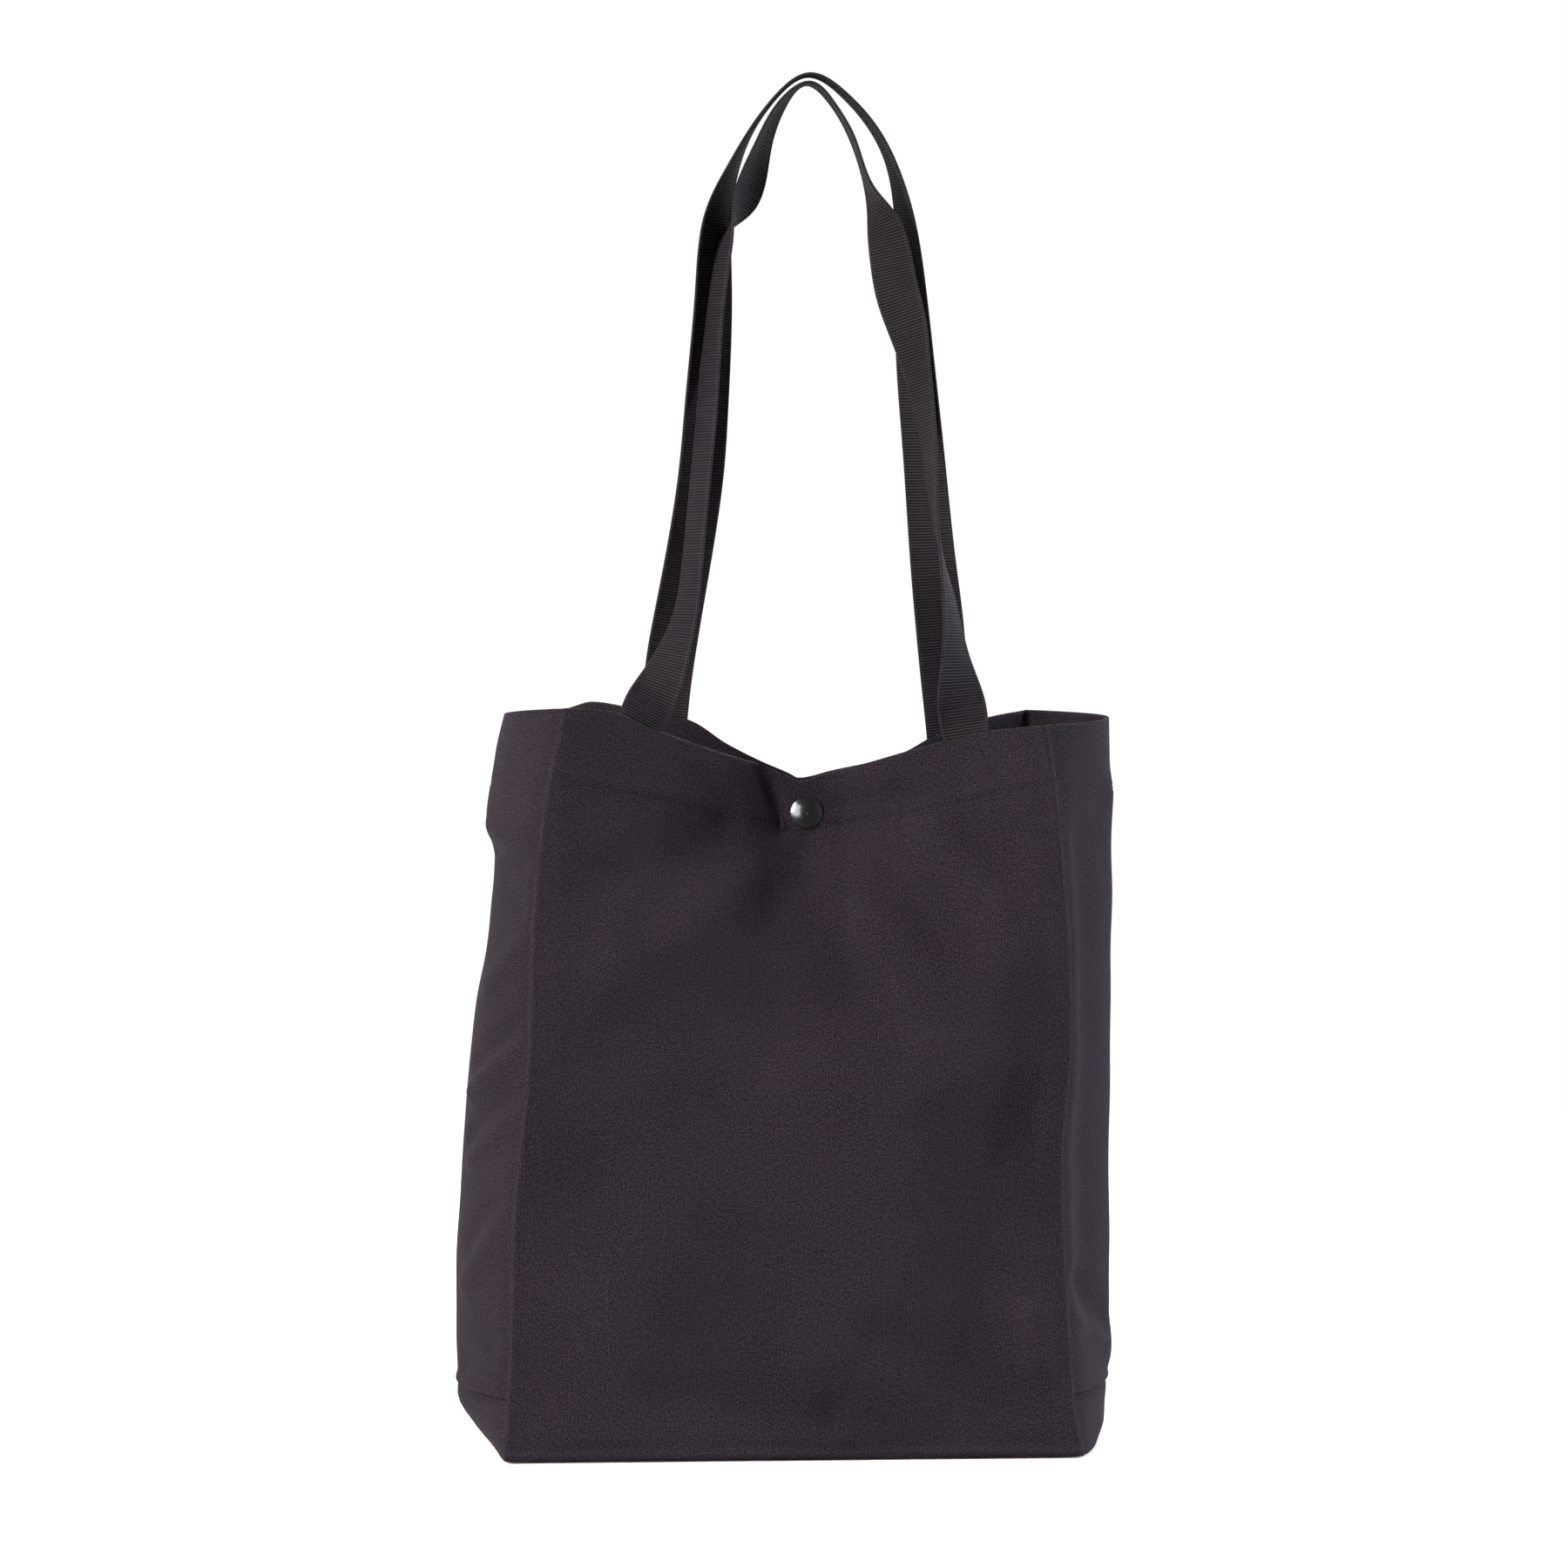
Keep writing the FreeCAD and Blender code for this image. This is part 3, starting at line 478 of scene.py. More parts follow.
def add_binding(name, face, material):
    """Binding tape over the seam allowances: up one side of a panel, along its base and up the other."""
    top = stitch_z(MOUTH_HALF - 8) - 4
    climb = np.linspace(4, top, 90)
    across = np.linspace(0, 1, 90)
    runs = []
    for side, heights in ((-1, climb[::-1]), (1, climb)):
        points = [(seam_x(side, z) - side * 7, z) for z in heights]
        if side > 0:
            first = runs[-1]
            runs.extend([(first[0] + (points[0][0] - first[0]) * s, 6.0) for s in across[2:-2]])
        runs.extend(points)
    path = np.array(runs)
    tangent = np.gradient(path, axis=0)
    tangent /= np.linalg.norm(tangent, axis=1, keepdims=True)
    for _ in range(4):
        tangent[1:-1] = (tangent[:-2] + tangent[1:-1] + tangent[2:]) / 3
    tangent /= np.linalg.norm(tangent, axis=1, keepdims=True)
    sideways = np.stack([-tangent[:, 1], tangent[:, 0]], -1)
    offsets = np.linspace(-TAPE_HALF, TAPE_HALF, 7)
    flat = path[:, None, :] + sideways[:, None, :] * offsets[None, :, None]
    x, z = flat[..., 0], np.clip(flat[..., 1], 2, None)
    puff = 0.35 * (1 - (offsets / TAPE_HALF) ** 2)[None, :]
    grid = panel_point(face, x, z)
    grid[..., 1] -= face * (CLOTH + 1.2 + puff)
    return add_cloth(name, grid, 1.0, [material, material], flip=face > 0)


def add_stitches(name, centres, directions, outward, material):
    """Separate thread stitches: short rounded strands that sink in at both ends."""
    ring = 8
    shape = [(-0.5, 0.15, -0.7), (-0.42, 0.8, 0.0), (-0.2, 1, 0.65), (0.2, 1, 0.65), (0.42, 0.8, 0.0),
             (0.5, 0.15, -0.7)]
    angle = np.linspace(0, 2 * math.pi, ring, endpoint=False)
    points = []
    faces = []
    for centre, direction, out in zip(centres, directions, outward):
        side = np.cross(direction, out)
        first = len(points)
        for along, size, lift in shape:
            middle = centre + direction * along * STITCH_LENGTH + out * lift * STITCH_RADIUS
            for a in angle:
                points.append(middle + (side * math.cos(a) + out * math.sin(a)) * STITCH_RADIUS * size)
        for k in range(len(shape) - 1):
            for i in range(ring):
                j = (i + 1) % ring
                row = first + k * ring
                faces.append([row + i, row + j, row + ring + j, row + ring + i])
        faces.append([first + i for i in range(ring)][::-1])
        faces.append([first + (len(shape) - 1) * ring + i for i in range(ring)])
    obj = add_mesh(name, points, faces)
    obj.data.materials.append(material)
    return obj


def stitch_run(points, outward):
    """Centres, directions and outward directions of stitches at an even pitch along points."""
    step = np.linalg.norm(np.diff(points, axis=0), axis=1)
    total = np.concatenate([[0], np.cumsum(step)])
    marks = np.arange(STITCH_PITCH, total[-1] - STITCH_PITCH, STITCH_PITCH)
    centre = np.stack([np.interp(marks, total, points[:, k]) for k in range(3)], -1)
    ahead = np.stack([np.interp(marks + 0.5, total, points[:, k]) for k in range(3)], -1)
    direction = ahead - centre
    direction /= np.linalg.norm(direction, axis=1, keepdims=True)
    out = np.tile(np.array(outward, float), (len(marks), 1))
    out -= direction * np.sum(out * direction, axis=1, keepdims=True)
    out /= np.linalg.norm(out, axis=1, keepdims=True)
    return centre, direction, out


def strap_path(face, left_leg, right_leg, apex_z):
    """Middle line and width direction of a handle, from its left end over the apex to its right end."""
    rows = []
    for leg, sense, turn in ((left_leg, 1, 1 if face > 0 else -1), (right_leg, -1, -1 if face > 0 else 1)):
        points = []
        for z, x, degrees in leg:
            hem_depth = panel_depth(np.array(x), hem_z(face, np.array(x))) - CLOTH - STRAP_INSET
            sewn = panel_depth(np.array(x), np.array(float(z))) - CLOTH - STRAP_INSET
            share = np.clip((z - STRAP_FREE) / (apex_z - STRAP_FREE), 0, 1)
            y = face * (sewn if z < STRAP_SEWN else hem_depth * (1 - share))
            after = panel_depth(np.array(x + 1.0), hem_z(face, np.array(x)))
            before = panel_depth(np.array(x - 1.0), hem_z(face, np.array(x)))
            slope = after - before
            lie = math.atan(face * float(slope) / 2) * (1 - ease((z - STRAP_SEWN) / 60))
            angle = math.radians(degrees) * turn + float(lie)
            points.append((x, float(y), z, sense * math.cos(angle), sense * math.sin(angle), 0.0))
        rows.append(points)
    apex = [(1.0, 0.0, apex_z - WEB_THICK / 2, 0.0, 1.0 if face > 0 else -1.0, 0.0)]
    stations = np.array(rows[0] + apex + rows[1][::-1])
    gaps = np.linalg.norm(np.diff(stations[:, :3], axis=0), axis=1)
    chord = np.concatenate([[0], np.cumsum(np.sqrt(gaps))])
    fine = np.linspace(0, chord[-1], 1500)
    smooth = spline(chord, stations, fine)
    step = np.linalg.norm(np.diff(smooth[:, :3], axis=0), axis=1)
    total = np.concatenate([[0], np.cumsum(step)])
    marks = np.arange(0, total[-1], RIB / 4)
    even = np.stack([np.interp(marks, total, smooth[:, k]) for k in range(6)], -1)
    return even[:, :3], even[:, 3:], marks


def spline(place, values, at):
    """Natural cubic spline through rows of values."""
    n = len(place)
    h = np.diff(place)
    matrix = np.eye(n)
    right = np.zeros_like(values)
    for i in range(1, n - 1):
        matrix[i, i - 1:i + 2] = [h[i - 1], 2 * (h[i - 1] + h[i]), h[i]]
        right[i] = 6 * ((values[i + 1] - values[i]) / h[i] - (values[i] - values[i - 1]) / h[i - 1])
    second = np.linalg.solve(matrix, right)
    k = np.clip(np.searchsorted(place, at) - 1, 0, n - 2)
    a = ((place[k + 1] - at) / h[k])[:, None]
    b = 1 - a
    bend = ((a**3 - a) * second[k] + (b**3 - b) * second[k + 1]) * (h[k][:, None] ** 2) / 6
    return a * values[k] + b * values[k + 1] + bend


def add_strap(name, face, left_leg, right_leg, apex_z, material):
    """A webbing handle: cross ribs between two firm edges, in real relief."""
    path, across, marks = strap_path(face, left_leg, right_leg, apex_z)
    tangent = np.gradient(path, axis=0)
    tangent /= np.linalg.norm(tangent, axis=1, keepdims=True)
    across = across - tangent * np.sum(across * tangent, axis=1, keepdims=True)
    across /= np.linalg.norm(across, axis=1, keepdims=True)
    normal = np.cross(across, tangent)
    half = WEB_WIDTH / 2
    top = np.array([-1, -0.985, -0.95, -0.89, -0.84, -0.6, -0.3, 0, 0.3, 0.6, 0.84, 0.89, 0.95, 0.985, 1])
    rise = np.array([0, 0.62, 0.96, 0.98, 0.8, 0.86, 0.88, 0.88, 0.88, 0.86, 0.8, 0.98, 0.96, 0.62, 0])
    places_across = np.concatenate([top, top[-2:0:-1]])
    rises = np.concatenate([rise, -rise[-2:0:-1]])
    ribbed = np.where(np.abs(places_across) < 0.86, 0.2, 0.05)
    wave = 1 + ribbed[None, :] * np.cos(2 * math.pi * marks[:, None] / RIB)
    bow = 0.5 * (1 - places_across**2)[None, :] * ease((path[:, 2:] - HEM) / 30)
    ring = path[:, None, :] + across[:, None, :] * (places_across * half)[None, :, None]
    ring = ring + normal[:, None, :] * (rises[None, :] * wave * WEB_THICK / 2 + bow)[..., None]
    rows, cols = ring.shape[:2]
    index = np.arange(rows * cols).reshape(rows, cols)
    after = np.roll(index, -1, axis=1)
    quads = np.stack([index[:-1], after[:-1], after[1:], index[1:]], -1).reshape(-1, 4)
    faces = quads.tolist() + [index[0, ::-1].tolist(), index[-1].tolist()]
    u = np.tile(places_across * half * MM, (rows, 1))
    v = np.tile((marks * MM)[:, None], (1, cols))
    uvs = np.stack([u, v], -1).reshape(-1, 2)
    obj = add_mesh(name, ring.reshape(-1, 3), faces, uvs)
    obj.data.materials.append(material)
    return obj


def add_turned(name, centre, profile, material, turns=72):
    """A turned part. The profile is (radius, depth) from front to back, closed on itself, along +Y."""
    angle = np.linspace(0, 2 * math.pi, turns, endpoint=False)
    points = []
    for radius, depth in profile:
        r = max(radius, 0.02)
        for a in angle:
            points.append((centre[0] + r * math.cos(a), depth, centre[1] + r * math.sin(a)))
    faces = []
    rings = len(profile)
    for k in range(rings):
        nxt = (k + 1) % rings
        for i in range(turns):
            j = (i + 1) % turns
            faces.append([k * turns + i, k * turns + j, nxt * turns + j, nxt * turns + i])
    obj = add_mesh(name, points, faces)
    obj.data.materials.append(material)
    return obj


def rounded(corners, radius, steps=4):
    """A closed profile with its corners rounded."""
    corners = np.array(corners, float)
    out = []
    for k, corner in enumerate(corners):
        before = corners[k - 1] - corner
        after = corners[(k + 1) % len(corners)] - corner
        reach = min(radius, np.linalg.norm(before) * 0.45, np.linalg.norm(after) * 0.45)
        start = corner + before / np.linalg.norm(before) * reach
        end = corner + after / np.linalg.norm(after) * reach
        for t in np.linspace(0, 1, steps):
            out.append((1 - t) ** 2 * start + 2 * t * (1 - t) * corner + t**2 * end)
    return [tuple(p) for p in out]


class Nodes:
    """Short calls for building a material's node tree."""

    def __init__(self, name):
        self.material = bpy.data.materials.new(name)
        self.material.use_nodes = True
        self.tree = self.material.node_tree
        self.shader = self.tree.nodes["Principled BSDF"]

    def add(self, kind, values=(), **settings):
        node = self.tree.nodes.new(kind)
        for key, value in settings.items():
            setattr(node, key, value)
        for key, value in dict(values).items():
            self.put(node.inputs[key], value)
        return node

    def put(self, socket, value):
        if isinstance(value, bpy.types.NodeSocket):
            self.tree.links.new(value, socket)
        else:
            socket.default_value = value

    def math(self, operation, a, b=0.0, c=0.0):
        node = self.add("ShaderNodeMath", {0: a, 1: b, 2: c}, operation=operation)
        return node.outputs[0]

    def noise(self, vector, scale, detail=2.0, roughness=0.5):
        values = {"Vector": vector, "Scale": scale, "Detail": detail, "Roughness": roughness}
        return self.add("ShaderNodeTexNoise", values).outputs["Fac"]

    def scaled(self, vector, x, y, z=1.0):
        node = self.add("ShaderNodeVectorMath", {0: vector, 1: (x, y, z)}, operation="MULTIPLY")
        return node.outputs[0]

    def mix(self, share, a, b):
        node = self.add("ShaderNodeMix", data_type="RGBA")
        self.put(node.inputs[0], share)
        self.put(node.inputs[6], a)
        self.put(node.inputs[7], b)
        return node.outputs[2]

    def between(self, value, low, high, to_low, to_high):
        node = self.add("ShaderNodeMapRange",
                        {0: value, 1: low, 2: high, 3: to_low, 4: to_high})
        return node.outputs[0]

    def bump(self, height, distance, strength=1.0):
        node = self.add("ShaderNodeBump", {"Height": height, "Distance": distance, "Strength": strength})
        return node.outputs["Normal"]


def woven(name, dark, light, relief, shine, sheen):
    """Oxford cloth drawn as a plain weave of single yarns, at WARP_PITCH by WEFT_PITCH on the cloth's own
    UVs.
    """
    n = Nodes(name)
    uv = n.add("ShaderNodeUVMap", uv_map="Cloth").outputs[0]
    drift = n.add("ShaderNodeTexNoise", {"Vector": uv, "Scale": 90.0, "Detail": 1.0}).outputs["Color"]
    centred = n.add("ShaderNodeVectorMath", {0: drift, 1: (0.5, 0.5, 0.5)}, operation="SUBTRACT").outputs[0]
    moved = n.add("ShaderNodeVectorMath", {0: uv, 1: n.scaled(centred, 0.0008, 0.0008)},
                  operation="ADD").outputs[0]
    parts = n.add("ShaderNodeSeparateXYZ", {0: moved})
    warp = n.math("SINE", n.math("MULTIPLY", parts.outputs[0], math.pi / (WARP_PITCH * MM)))
    weft = n.math("SINE", n.math("MULTIPLY", parts.outputs[1], math.pi / (WEFT_PITCH * MM)))
    warp_round = n.math("ABSOLUTE", warp)
    weft_round = n.math("ABSOLUTE", weft)
    over = n.between(n.math("MULTIPLY", warp, weft), -0.12, 0.12, 0.0, 1.0)
    warp_top = n.math("MULTIPLY", warp_round, n.math("MULTIPLY_ADD", weft_round, 0.5, 0.5))
    weft_top = n.math("MULTIPLY", weft_round, n.math("MULTIPLY_ADD", warp_round, 0.5, 0.5))
    height = n.math("ADD", n.math("MULTIPLY", over, warp_top),
                    n.math("MULTIPLY", n.math("SUBTRACT", 1.0, over), weft_top))
    warp_yarn = n.noise(n.scaled(uv, 1 / (WARP_PITCH * MM), 420.0), 1.0, 1.0)
    weft_yarn = n.noise(n.scaled(uv, 420.0, 1 / (WEFT_PITCH * MM)), 1.0, 1.0)
    yarn = n.add("ShaderNodeMix", {0: over, 2: weft_yarn, 3: warp_yarn}, data_type="FLOAT").outputs[0]
    patches = n.noise(uv, 9.0, 3.0, 0.5)
    specks = n.noise(uv, 950.0, 2.0, 0.7)
    # Painted shade: the colour is darker in the low crevices between the yarns and lighter on their raised
    # tops. The yarn tone, the warp lying over the weft, the patches and the specks vary the colour on top of
    # that.
    share = n.math("MULTIPLY", n.between(height, 0.15, 0.95, -0.05, 0.8),
                   n.between(yarn, 0.3, 0.7, 0.45, 1.5))
    share = n.math("MULTIPLY_ADD", over, 0.6, share)
    share = n.math("ADD", share, n.between(patches, 0.35, 0.7, -0.1, 0.1))
    share = n.math("ADD", n.math("MULTIPLY", share, 0.42), n.between(specks, 0.3, 0.7, -0.36, 0.36))
    n.put(n.shader.inputs["Base Color"], n.mix(n.math("MINIMUM", share, 1.6), dark, light))
    rough = n.math("ADD", n.between(height, 0.0, 1.0, 0.86, 0.62), n.between(patches, 0.3, 0.7, 0.05, -0.05))
    n.put(n.shader.inputs["Roughness"], rough)
    n.put(n.shader.inputs["Normal"], n.bump(height, relief * MM, 1.0))
    n.shader.inputs["Specular IOR Level"].default_value = shine
    n.shader.inputs["Sheen Weight"].default_value = sheen
    n.shader.inputs["Sheen Roughness"].default_value = 0.45
    n.shader.inputs["Sheen Tint"].default_value = (0.78, 0.72, 0.82, 1)
    return n.material


def webbing():
    """Ribbed webbing: yarns run across each rib, and both edges are plain. The colour holds a painted
    highlight on the rib crests, painted shade between the ribs, and lighter edges that are partly their own
    colour and partly a painted highlight.
    """
    n = Nodes("webbing")
    uv = n.add("ShaderNodeUVMap", uv_map="Cloth").outputs[0]
    parts = n.add("ShaderNodeSeparateXYZ", {0: uv})
    ribs = n.math("COSINE", n.math("MULTIPLY", parts.outputs[1], 2 * math.pi / (RIB * MM)))
    rib = n.between(ribs, -1.0, 1.0, 0.0, 1.0)
    turns = n.math("MULTIPLY", parts.outputs[0], math.pi / (WEB_YARN * MM))
    yarns = n.math("ABSOLUTE", n.math("SINE", turns))
    place = n.math("ABSOLUTE", parts.outputs[0])
    edge = n.between(place, (WEB_WIDTH / 2 - 1.9) * MM, (WEB_WIDTH / 2 - 1.3) * MM, 0.0, 1.0)
    height = n.math("ADD", n.math("MULTIPLY", rib, 0.7), n.math("MULTIPLY", yarns, 0.3))
    uneven = n.noise(n.scaled(uv, 30.0, 500.0), 1.0, 2.0)
    patches = n.noise(uv, 24.0, 3.0, 0.6)
    # Painted highlight and shade: the colour is lighter on the rib crests and darker in the hollows between
    # the ribs.
    share = n.math("ADD", n.between(height, 0.4, 0.95, -0.05, 1.1), n.between(uneven, 0.3, 0.7, -0.2, 0.2))
    share = n.math("ADD", share, n.between(patches, 0.35, 0.7, -0.1, 0.1))
    # Both edges are painted lighter: partly their own lighter colour, partly a painted highlight where the
    # rounded edge catches the light.
    share = n.math("ADD", share, n.math("MULTIPLY", edge, 0.4))
    body = n.mix(share, (0.0006, 0.0003, 0.0006, 1), (0.0155, 0.0112, 0.0168, 1))
    n.put(n.shader.inputs["Base Color"], body)
    n.put(n.shader.inputs["Roughness"], n.between(height, 0.0, 1.0, 0.8, 0.55))
    n.put(n.shader.inputs["Normal"], n.bump(height, 0.22 * MM, 0.8))
    n.shader.inputs["Specular IOR Level"].default_value = 0.12
    n.shader.inputs["Sheen Weight"].default_value = 0.03
    n.shader.inputs["Sheen Roughness"].default_value = 0.4
    n.shader.inputs["Sheen Tint"].default_value = (0.8, 0.76, 0.84, 1)
    return n.material


def binding_tape():
    """Soft non-woven tape with a faint fibre."""
    n = Nodes("binding_tape")
    uv = n.add("ShaderNodeUVMap", uv_map="Cloth").outputs[0]
    fibre = n.noise(n.scaled(uv, 900.0, 260.0), 1.0, 4.0, 0.7)
    n.put(n.shader.inputs["Base Color"], n.mix(fibre, (0.008, 0.007, 0.008, 1), (0.03, 0.027, 0.03, 1)))
    n.put(n.shader.inputs["Roughness"], n.between(fibre, 0.3, 0.7, 0.7, 0.92))
    n.put(n.shader.inputs["Normal"], n.bump(fibre, 0.12 * MM, 0.7))
    n.shader.inputs["Specular IOR Level"].default_value = 0.15
    return n.material


def thread():
    """Twisted sewing thread."""
    n = Nodes("sewing_thread")
    where = n.add("ShaderNodeTexCoord").outputs["Object"]
    twist = n.add("ShaderNodeTexWave", {"Vector": where, "Scale": 900.0, "Distortion": 0.6},
                  bands_direction="DIAGONAL").outputs["Fac"]
    n.put(n.shader.inputs["Base Color"], n.mix(twist, (0.003, 0.002, 0.003, 1), (0.015, 0.012, 0.016, 1)))
    n.put(n.shader.inputs["Roughness"], n.between(twist, 0.0, 1.0, 0.7, 0.45))
    n.put(n.shader.inputs["Normal"], n.bump(twist, 0.05 * MM, 0.6))
    n.shader.inputs["Specular IOR Level"].default_value = 0.3
    return n.material


def plated(name, colour, rough, lines):
    """Plated metal with fine wear: a faint cloudy tone and small rubbed spots."""
    n = Nodes(name)
    where = n.add("ShaderNodeTexCoord").outputs["Object"]
    spots = n.noise(where, 1400.0, 3.0, 0.6)
    cloud = n.noise(where, 160.0, 2.0, 0.5)
    bright = tuple(min(1.0, c * 1.35) for c in colour[:3]) + (1,)
    n.put(n.shader.inputs["Base Color"], n.mix(n.between(cloud, 0.4, 0.7, 0.0, 1.0), colour, bright))
    n.put(n.shader.inputs["Roughness"], n.math("ADD", n.between(spots, 0.35, 0.75, rough, rough + 0.1),
                                               n.between(cloud, 0.3, 0.7, 0.0, 0.04)))
    n.put(n.shader.inputs["Normal"], n.bump(spots, lines * MM, 0.3))
    n.shader.inputs["Metallic"].default_value = 1.0
    return n.material


def pale_floor():
    """Pale matt floor that fades out into the white round it."""
    n = Nodes("pale_floor")
    where = n.add("ShaderNodeTexCoord").outputs["Object"]
    grain = n.noise(where, 40.0, 3.0, 0.5)
    n.put(n.shader.inputs["Base Color"], n.mix(grain, (0.88, 0.88, 0.88, 1), (0.91, 0.91, 0.91, 1)))
    n.shader.inputs["Roughness"].default_value = 0.8
    n.shader.inputs["Specular IOR Level"].default_value = 0.2
    away = n.add("ShaderNodeVectorMath", {0: where}, operation="LENGTH").outputs["Value"]
    n.put(n.shader.inputs["Alpha"], n.between(away, 0.45, 1.3, 1.0, 0.0))
    return n.material


canvas = woven("canvas", (0.0008, 0.0003, 0.0008, 1), (0.038, 0.0246, 0.0405, 1),
               relief=0.22, shine=0.1, sheen=0.04)
lining = woven("coated_side", (0.0008, 0.0004, 0.0008, 1), (0.026, 0.0175, 0.0275, 1),
               relief=0.08, shine=0.2, sheen=0.02)
web = webbing()
tape = binding_tape()
yarn = thread()
nickel = plated("black_nickel", (0.11, 0.11, 0.12, 1), 0.16, 0.01)
steel = plated("spring_steel", (0.5, 0.5, 0.51, 1), 0.3, 0.02)


def snap_blend(obj):
    """Bakes the object's placement into its mesh."""
    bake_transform(obj)


def build_panels():
    for face, name in ((-1, "front"), (1, "rear")):
        panel = add_cloth(f"{name}_panel_cloth", panel_grid(face), CLOTH, [canvas, lining], flip=face > 0)
        facing = add_cloth(f"{name}_facing_cloth", facing_grid(face), CLOTH, [lining, canvas], flip=face > 0)
        x = np.linspace(seam_x(-1, HEM) + 4, seam_x(1, HEM) - 4, 300)
        points = panel_point(face, x, stitch_z(x))
        run = stitch_run(points, (0, face, 0))
        stitches = add_stitches(f"{name}_hem_stitching", *run, yarn)
        for obj in (panel, facing, stitches):
            snap_blend(obj)
        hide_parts(f"{name}_panel")
        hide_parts(f"{name}_facing")
        binding = add_binding(f"{name}_binding_tape", face, tape)
        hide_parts(f"{name}_seam_binding")
        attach(binding, "bag")


def build_gussets():
    for side, name in ((-1, "left"), (1, "right")):
        gusset = add_cloth(f"{name}_gusset_cloth", gusset_grid(side), CLOTH, [canvas, lining], flip=side < 0)
        facing = add_cloth(f"{name}_facing_cloth", side_facing_grid(side), CLOTH, [lining, canvas],
                           flip=side < 0)
        share = np.linspace(-0.9, 0.9, 200)
        z = gusset_hem(side, share * MOUTH_Y) - BAND
        run = stitch_run(gusset_point(side, share, z), (side, 0, 0))
        stitches = add_stitches(f"{name}_hem_stitching", *run, yarn)
        for obj in (gusset, facing, stitches):
            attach(obj, "bag")
        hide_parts(f"{name}_gusset")
        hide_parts(f"{name}_facing")


def build_base():
    base = add_cloth("base_cloth", base_grid(), CLOTH, [canvas, lining])
    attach(base, "bag")
    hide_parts("base_panel")


def build_handles():
    legs = ((-1, "front", FRONT_LEFT_LEG, FRONT_RIGHT_LEG, FRONT_TOP + 2.0),
            (1, "rear", REAR_LEFT_LEG, REAR_RIGHT_LEG, REAR_TOP))
    for face, name, left_leg, right_leg, apex in legs:
        strap = add_strap(f"{name}_webbing_handle", face, left_leg, right_leg, apex, web)
        hinge = next(j for j in frame["record"]["behaviour"]["joints"] if j["name"] == f"{name}_handle_swing")
        x, y, z = hinge["pos_m"]
        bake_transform(strap)
        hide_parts(f"{name}_handle_loop", f"{name}_handle_end_left", f"{name}_handle_end_right")


def add_patch(name, face, node, body):
    low, high = cad_box(node)
    columns = np.linspace(low[0] + 0.6, high[0] - 0.6, 18)
    rows = np.linspace(low[2] + 0.6, high[2] - 0.6, 18)
    x, z = np.meshgrid(columns, rows)
    grid = np.stack([x, np.full_like(x, (low[1] if face < 0 else high[1])), z], -1)
    patch = add_cloth(name, grid, 0.8, [canvas, canvas], flip=face > 0)
    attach(patch, body)
    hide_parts(node)


def build_snap():
    centre = ((CAP_LOW[0] + CAP_HIGH[0]) / 2, SNAP_Z)
    radius = (CAP_HIGH[0] - CAP_LOW[0]) / 2
    front = CAP_LOW[1]
    back = -PINCH_Y - 0.1
    rise = 2.7
    ball = (radius**2 + rise**2) / (2 * rise)
    crown = [(radius * 0.97 * t, front + ball - math.sqrt(ball**2 - (radius * 0.97 * t) ** 2))
             for t in np.linspace(0.01, 1, 22)]
    rim = [(radius * 0.99, front + 2.62), (radius, front + 2.8), (radius, front + 3.0),
           (radius * 0.975, back), (radius * 0.9, back + 0.05)]
    shank = [(1.5, back + 0.1), (1.5, CAP_HIGH[1]), (0.02, CAP_HIGH[1])]
    cap = add_turned("snap_cap_dome", centre, crown + rim + shank, nickel, 96)
    parts = [(cap, "snap_cap", "front_snap_half", "black_nickel")]
    for node, body, slot_name, material, inner in (
            ("snap_socket", "front_snap_half", "black_nickel", nickel, 2.7),
            ("snap_stud", "rear_snap_half", "black_nickel", nickel, 0.02),
            ("snap_post", "rear_snap_half", "black_nickel", nickel, 0.02)):
        low, high = cad_box(node)
        outer = (high[0] - low[0]) / 2
        parts.append((turned_from(node, centre, outer, inner, low[1], high[1], material),
                      node, body, slot_name))
    for obj, node, body, slot_name in parts:
        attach(obj, body)
        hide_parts(node)
    spring = frame["nodes"]["socket_spring"]
    for holder in spring.material_slots:
        holder.link = "OBJECT"
        holder.material = steel
    add_patch("front_patch_cloth", -1, "front_snap_patch", "front_snap_half")
    add_patch("rear_patch_cloth", 1, "rear_snap_patch", "rear_snap_half")


def turned_from(node, centre, outer, inner, low, high, material):
    """The turned part of the snap that stands for a CAD node, between two depths."""
    if node == "snap_socket":
        shape = [(inner, low), (outer * 0.93, low), (outer, low + 0.5), (outer, high - 0.9),
                 (outer * 0.86, high - 0.35), (outer * 0.62, high), (inner, high)]
    elif node == "snap_stud":
        head = 2.3
        shape = [(0.02, low), (head * 0.7, low), (head, low + 0.5), (1.9, low + 1.5),
                 (outer * 0.9, low + 1.7), (outer, low + 2.1), (outer * 0.96, high), (0.02, high)]
    else:
        shape = [(0.02, low), (1.5, low), (1.5, high - 1.2), (outer * 0.94, high - 1.2),
                 (outer, high - 0.8), (outer * 0.9, high - 0.15), (outer * 0.6, high), (0.02, high)]
    return add_turned(f"{node}_turned", centre, rounded(shape, 0.35), material, 72)


def build_stage():
    ring = 96
    angle = np.linspace(0, 2 * math.pi, ring, endpoint=False)
    reach = 1400
    points = [(0, 0, -0.4)] + [(reach * math.cos(a), reach * math.sin(a), -0.4) for a in angle]
    faces = [[0, k + 1, (k + 1) % ring + 1] for k in range(ring)]
    floor = add_mesh("studio_floor", points, faces)
    floor.data.materials.append(pale_floor())
    floor.visible_glossy = False


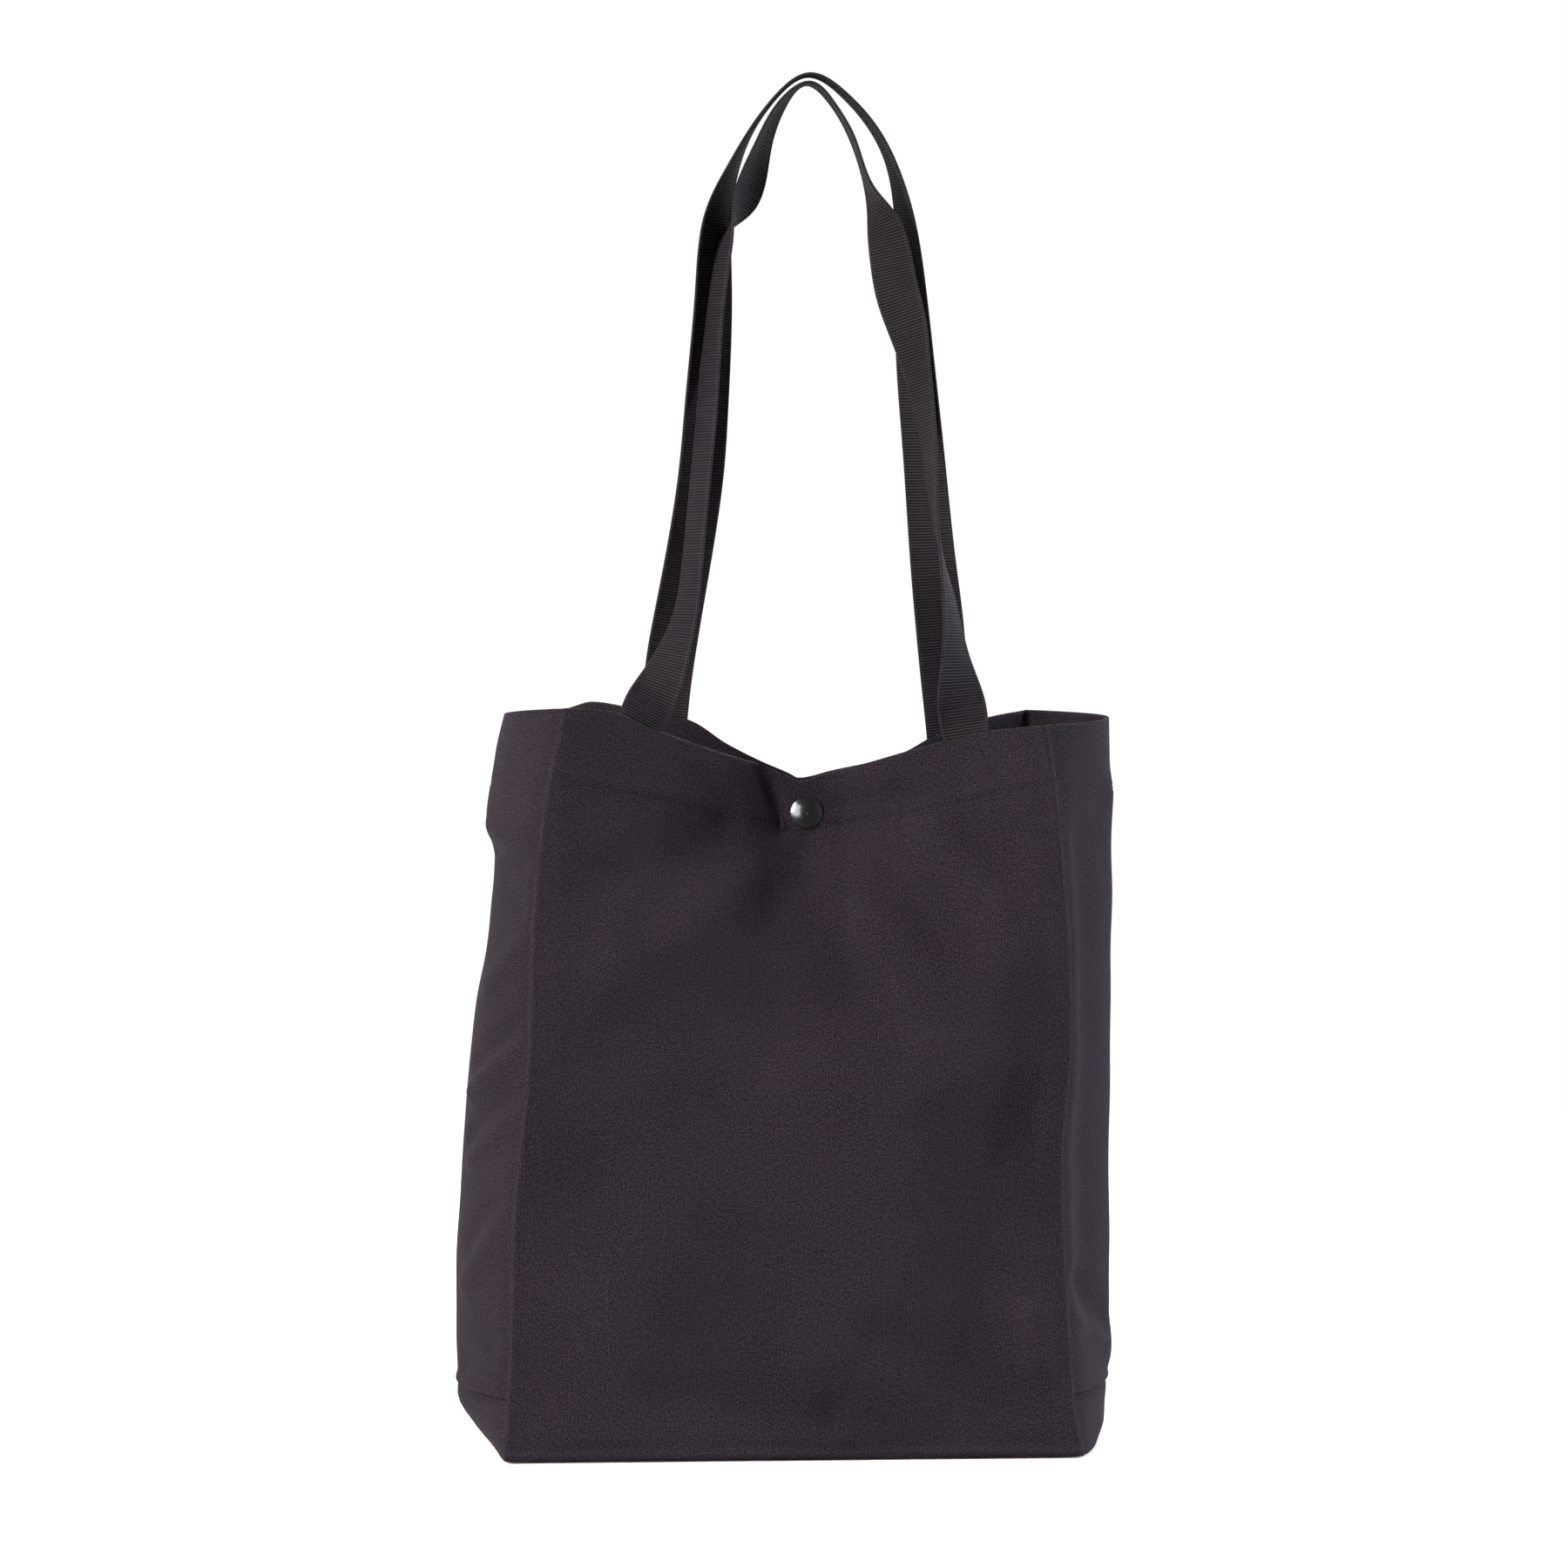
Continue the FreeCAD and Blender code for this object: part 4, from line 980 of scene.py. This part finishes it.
def add_light(name, place, aim, size, power, colour, glossy=True, diffuse=True):
    """A rectangular soft light at a place, turned to its aim."""
    data = bpy.data.lights.new(name, "AREA")
    data.shape = "RECTANGLE"
    data.size, data.size_y = size
    data.energy = power
    data.color = colour
    light = bpy.data.objects.new(name, data)
    light.location = place
    light.visible_glossy = glossy
    light.visible_diffuse = diffuse
    towards = np.array(aim, float) - np.array(place, float)
    light.rotation_euler = to_euler(towards)
    bpy.context.scene.collection.objects.link(light)


def to_euler(direction):
    """Rotation that points an object's -Z along a direction, with its top up."""
    return mathutils.Vector(direction).to_track_quat("-Z", "Y").to_euler()


def build_lights():
    """The world, white to the camera and brightest behind the bag to all else, and the soft lights."""
    world = bpy.data.worlds.new("studio")
    world.use_nodes = True
    tree = world.node_tree
    background = tree.nodes["Background"]
    where = tree.nodes.new("ShaderNodeTexCoord")
    behind = tree.nodes.new("ShaderNodeVectorMath")
    behind.operation = "DOT_PRODUCT"
    behind.inputs[1].default_value = (0.35, 0.94, 0)
    glow = tree.nodes.new("ShaderNodeMapRange")
    for place, value in ((1, -0.3), (2, 0.6), (3, 0.15), (4, 0.8)):
        glow.inputs[place].default_value = value
    rays = tree.nodes.new("ShaderNodeLightPath")
    strength = tree.nodes.new("ShaderNodeMath")
    strength.operation = "MAXIMUM"
    tree.links.new(where.outputs["Generated"], behind.inputs[0])
    tree.links.new(behind.outputs["Value"], glow.inputs[0])
    tree.links.new(glow.outputs[0], strength.inputs[0])
    tree.links.new(rays.outputs["Is Camera Ray"], strength.inputs[1])
    tree.links.new(strength.outputs[0], background.inputs[1])
    background.inputs[0].default_value = (1, 1, 1, 1)
    bpy.context.scene.world = world
    aim = (0, 0, 0.3)
    add_light("left_softbox", (-2.25, -1.15, 1.2), aim, (0.8, 1.7), 184, (1.0, 0.955, 0.92))
    add_light("right_softbox", (2.15, -0.42, 0.9), aim, (0.35, 1.6), 92, (0.93, 0.93, 1.0))
    add_light("top_softbox", (0.1, -0.4, 2.3), aim, (1.2, 0.8), 42, (1.0, 0.98, 0.99), glossy=False)
    add_light("left_card", (-1.6, -1.8, 0.62), aim, (1.4, 1.9), 40, (1.0, 0.99, 0.98), diffuse=False)
    add_light("rear_softbox", (0.9, 2.0, 1.9), aim, (1.4, 1.2), 25, (1.0, 1.0, 1.0))


def build_camera():
    """A long lens at a distance, a little above the bag and turned slightly to its left."""
    yaw = math.radians(-2.7)
    pitch = math.radians(4.69)
    distance = 2.6
    aim = np.array([-0.0115, 0, 0.3477])
    back = np.array([math.sin(yaw) * math.cos(pitch), -math.cos(yaw) * math.cos(pitch), math.sin(pitch)])
    data = bpy.data.cameras.new("studio_camera")
    data.sensor_width = 36
    data.lens = 113.6
    camera = bpy.data.objects.new("studio_camera", data)
    camera.location = aim + back * distance
    camera.rotation_euler = to_euler(-back)
    bpy.context.scene.collection.objects.link(camera)
    bpy.context.scene.camera = camera
    bpy.context.scene.view_settings.view_transform = "Standard"


build_camera()
build_panels()
build_gussets()
build_base()
build_handles()
build_snap()
build_stage()
build_lights()
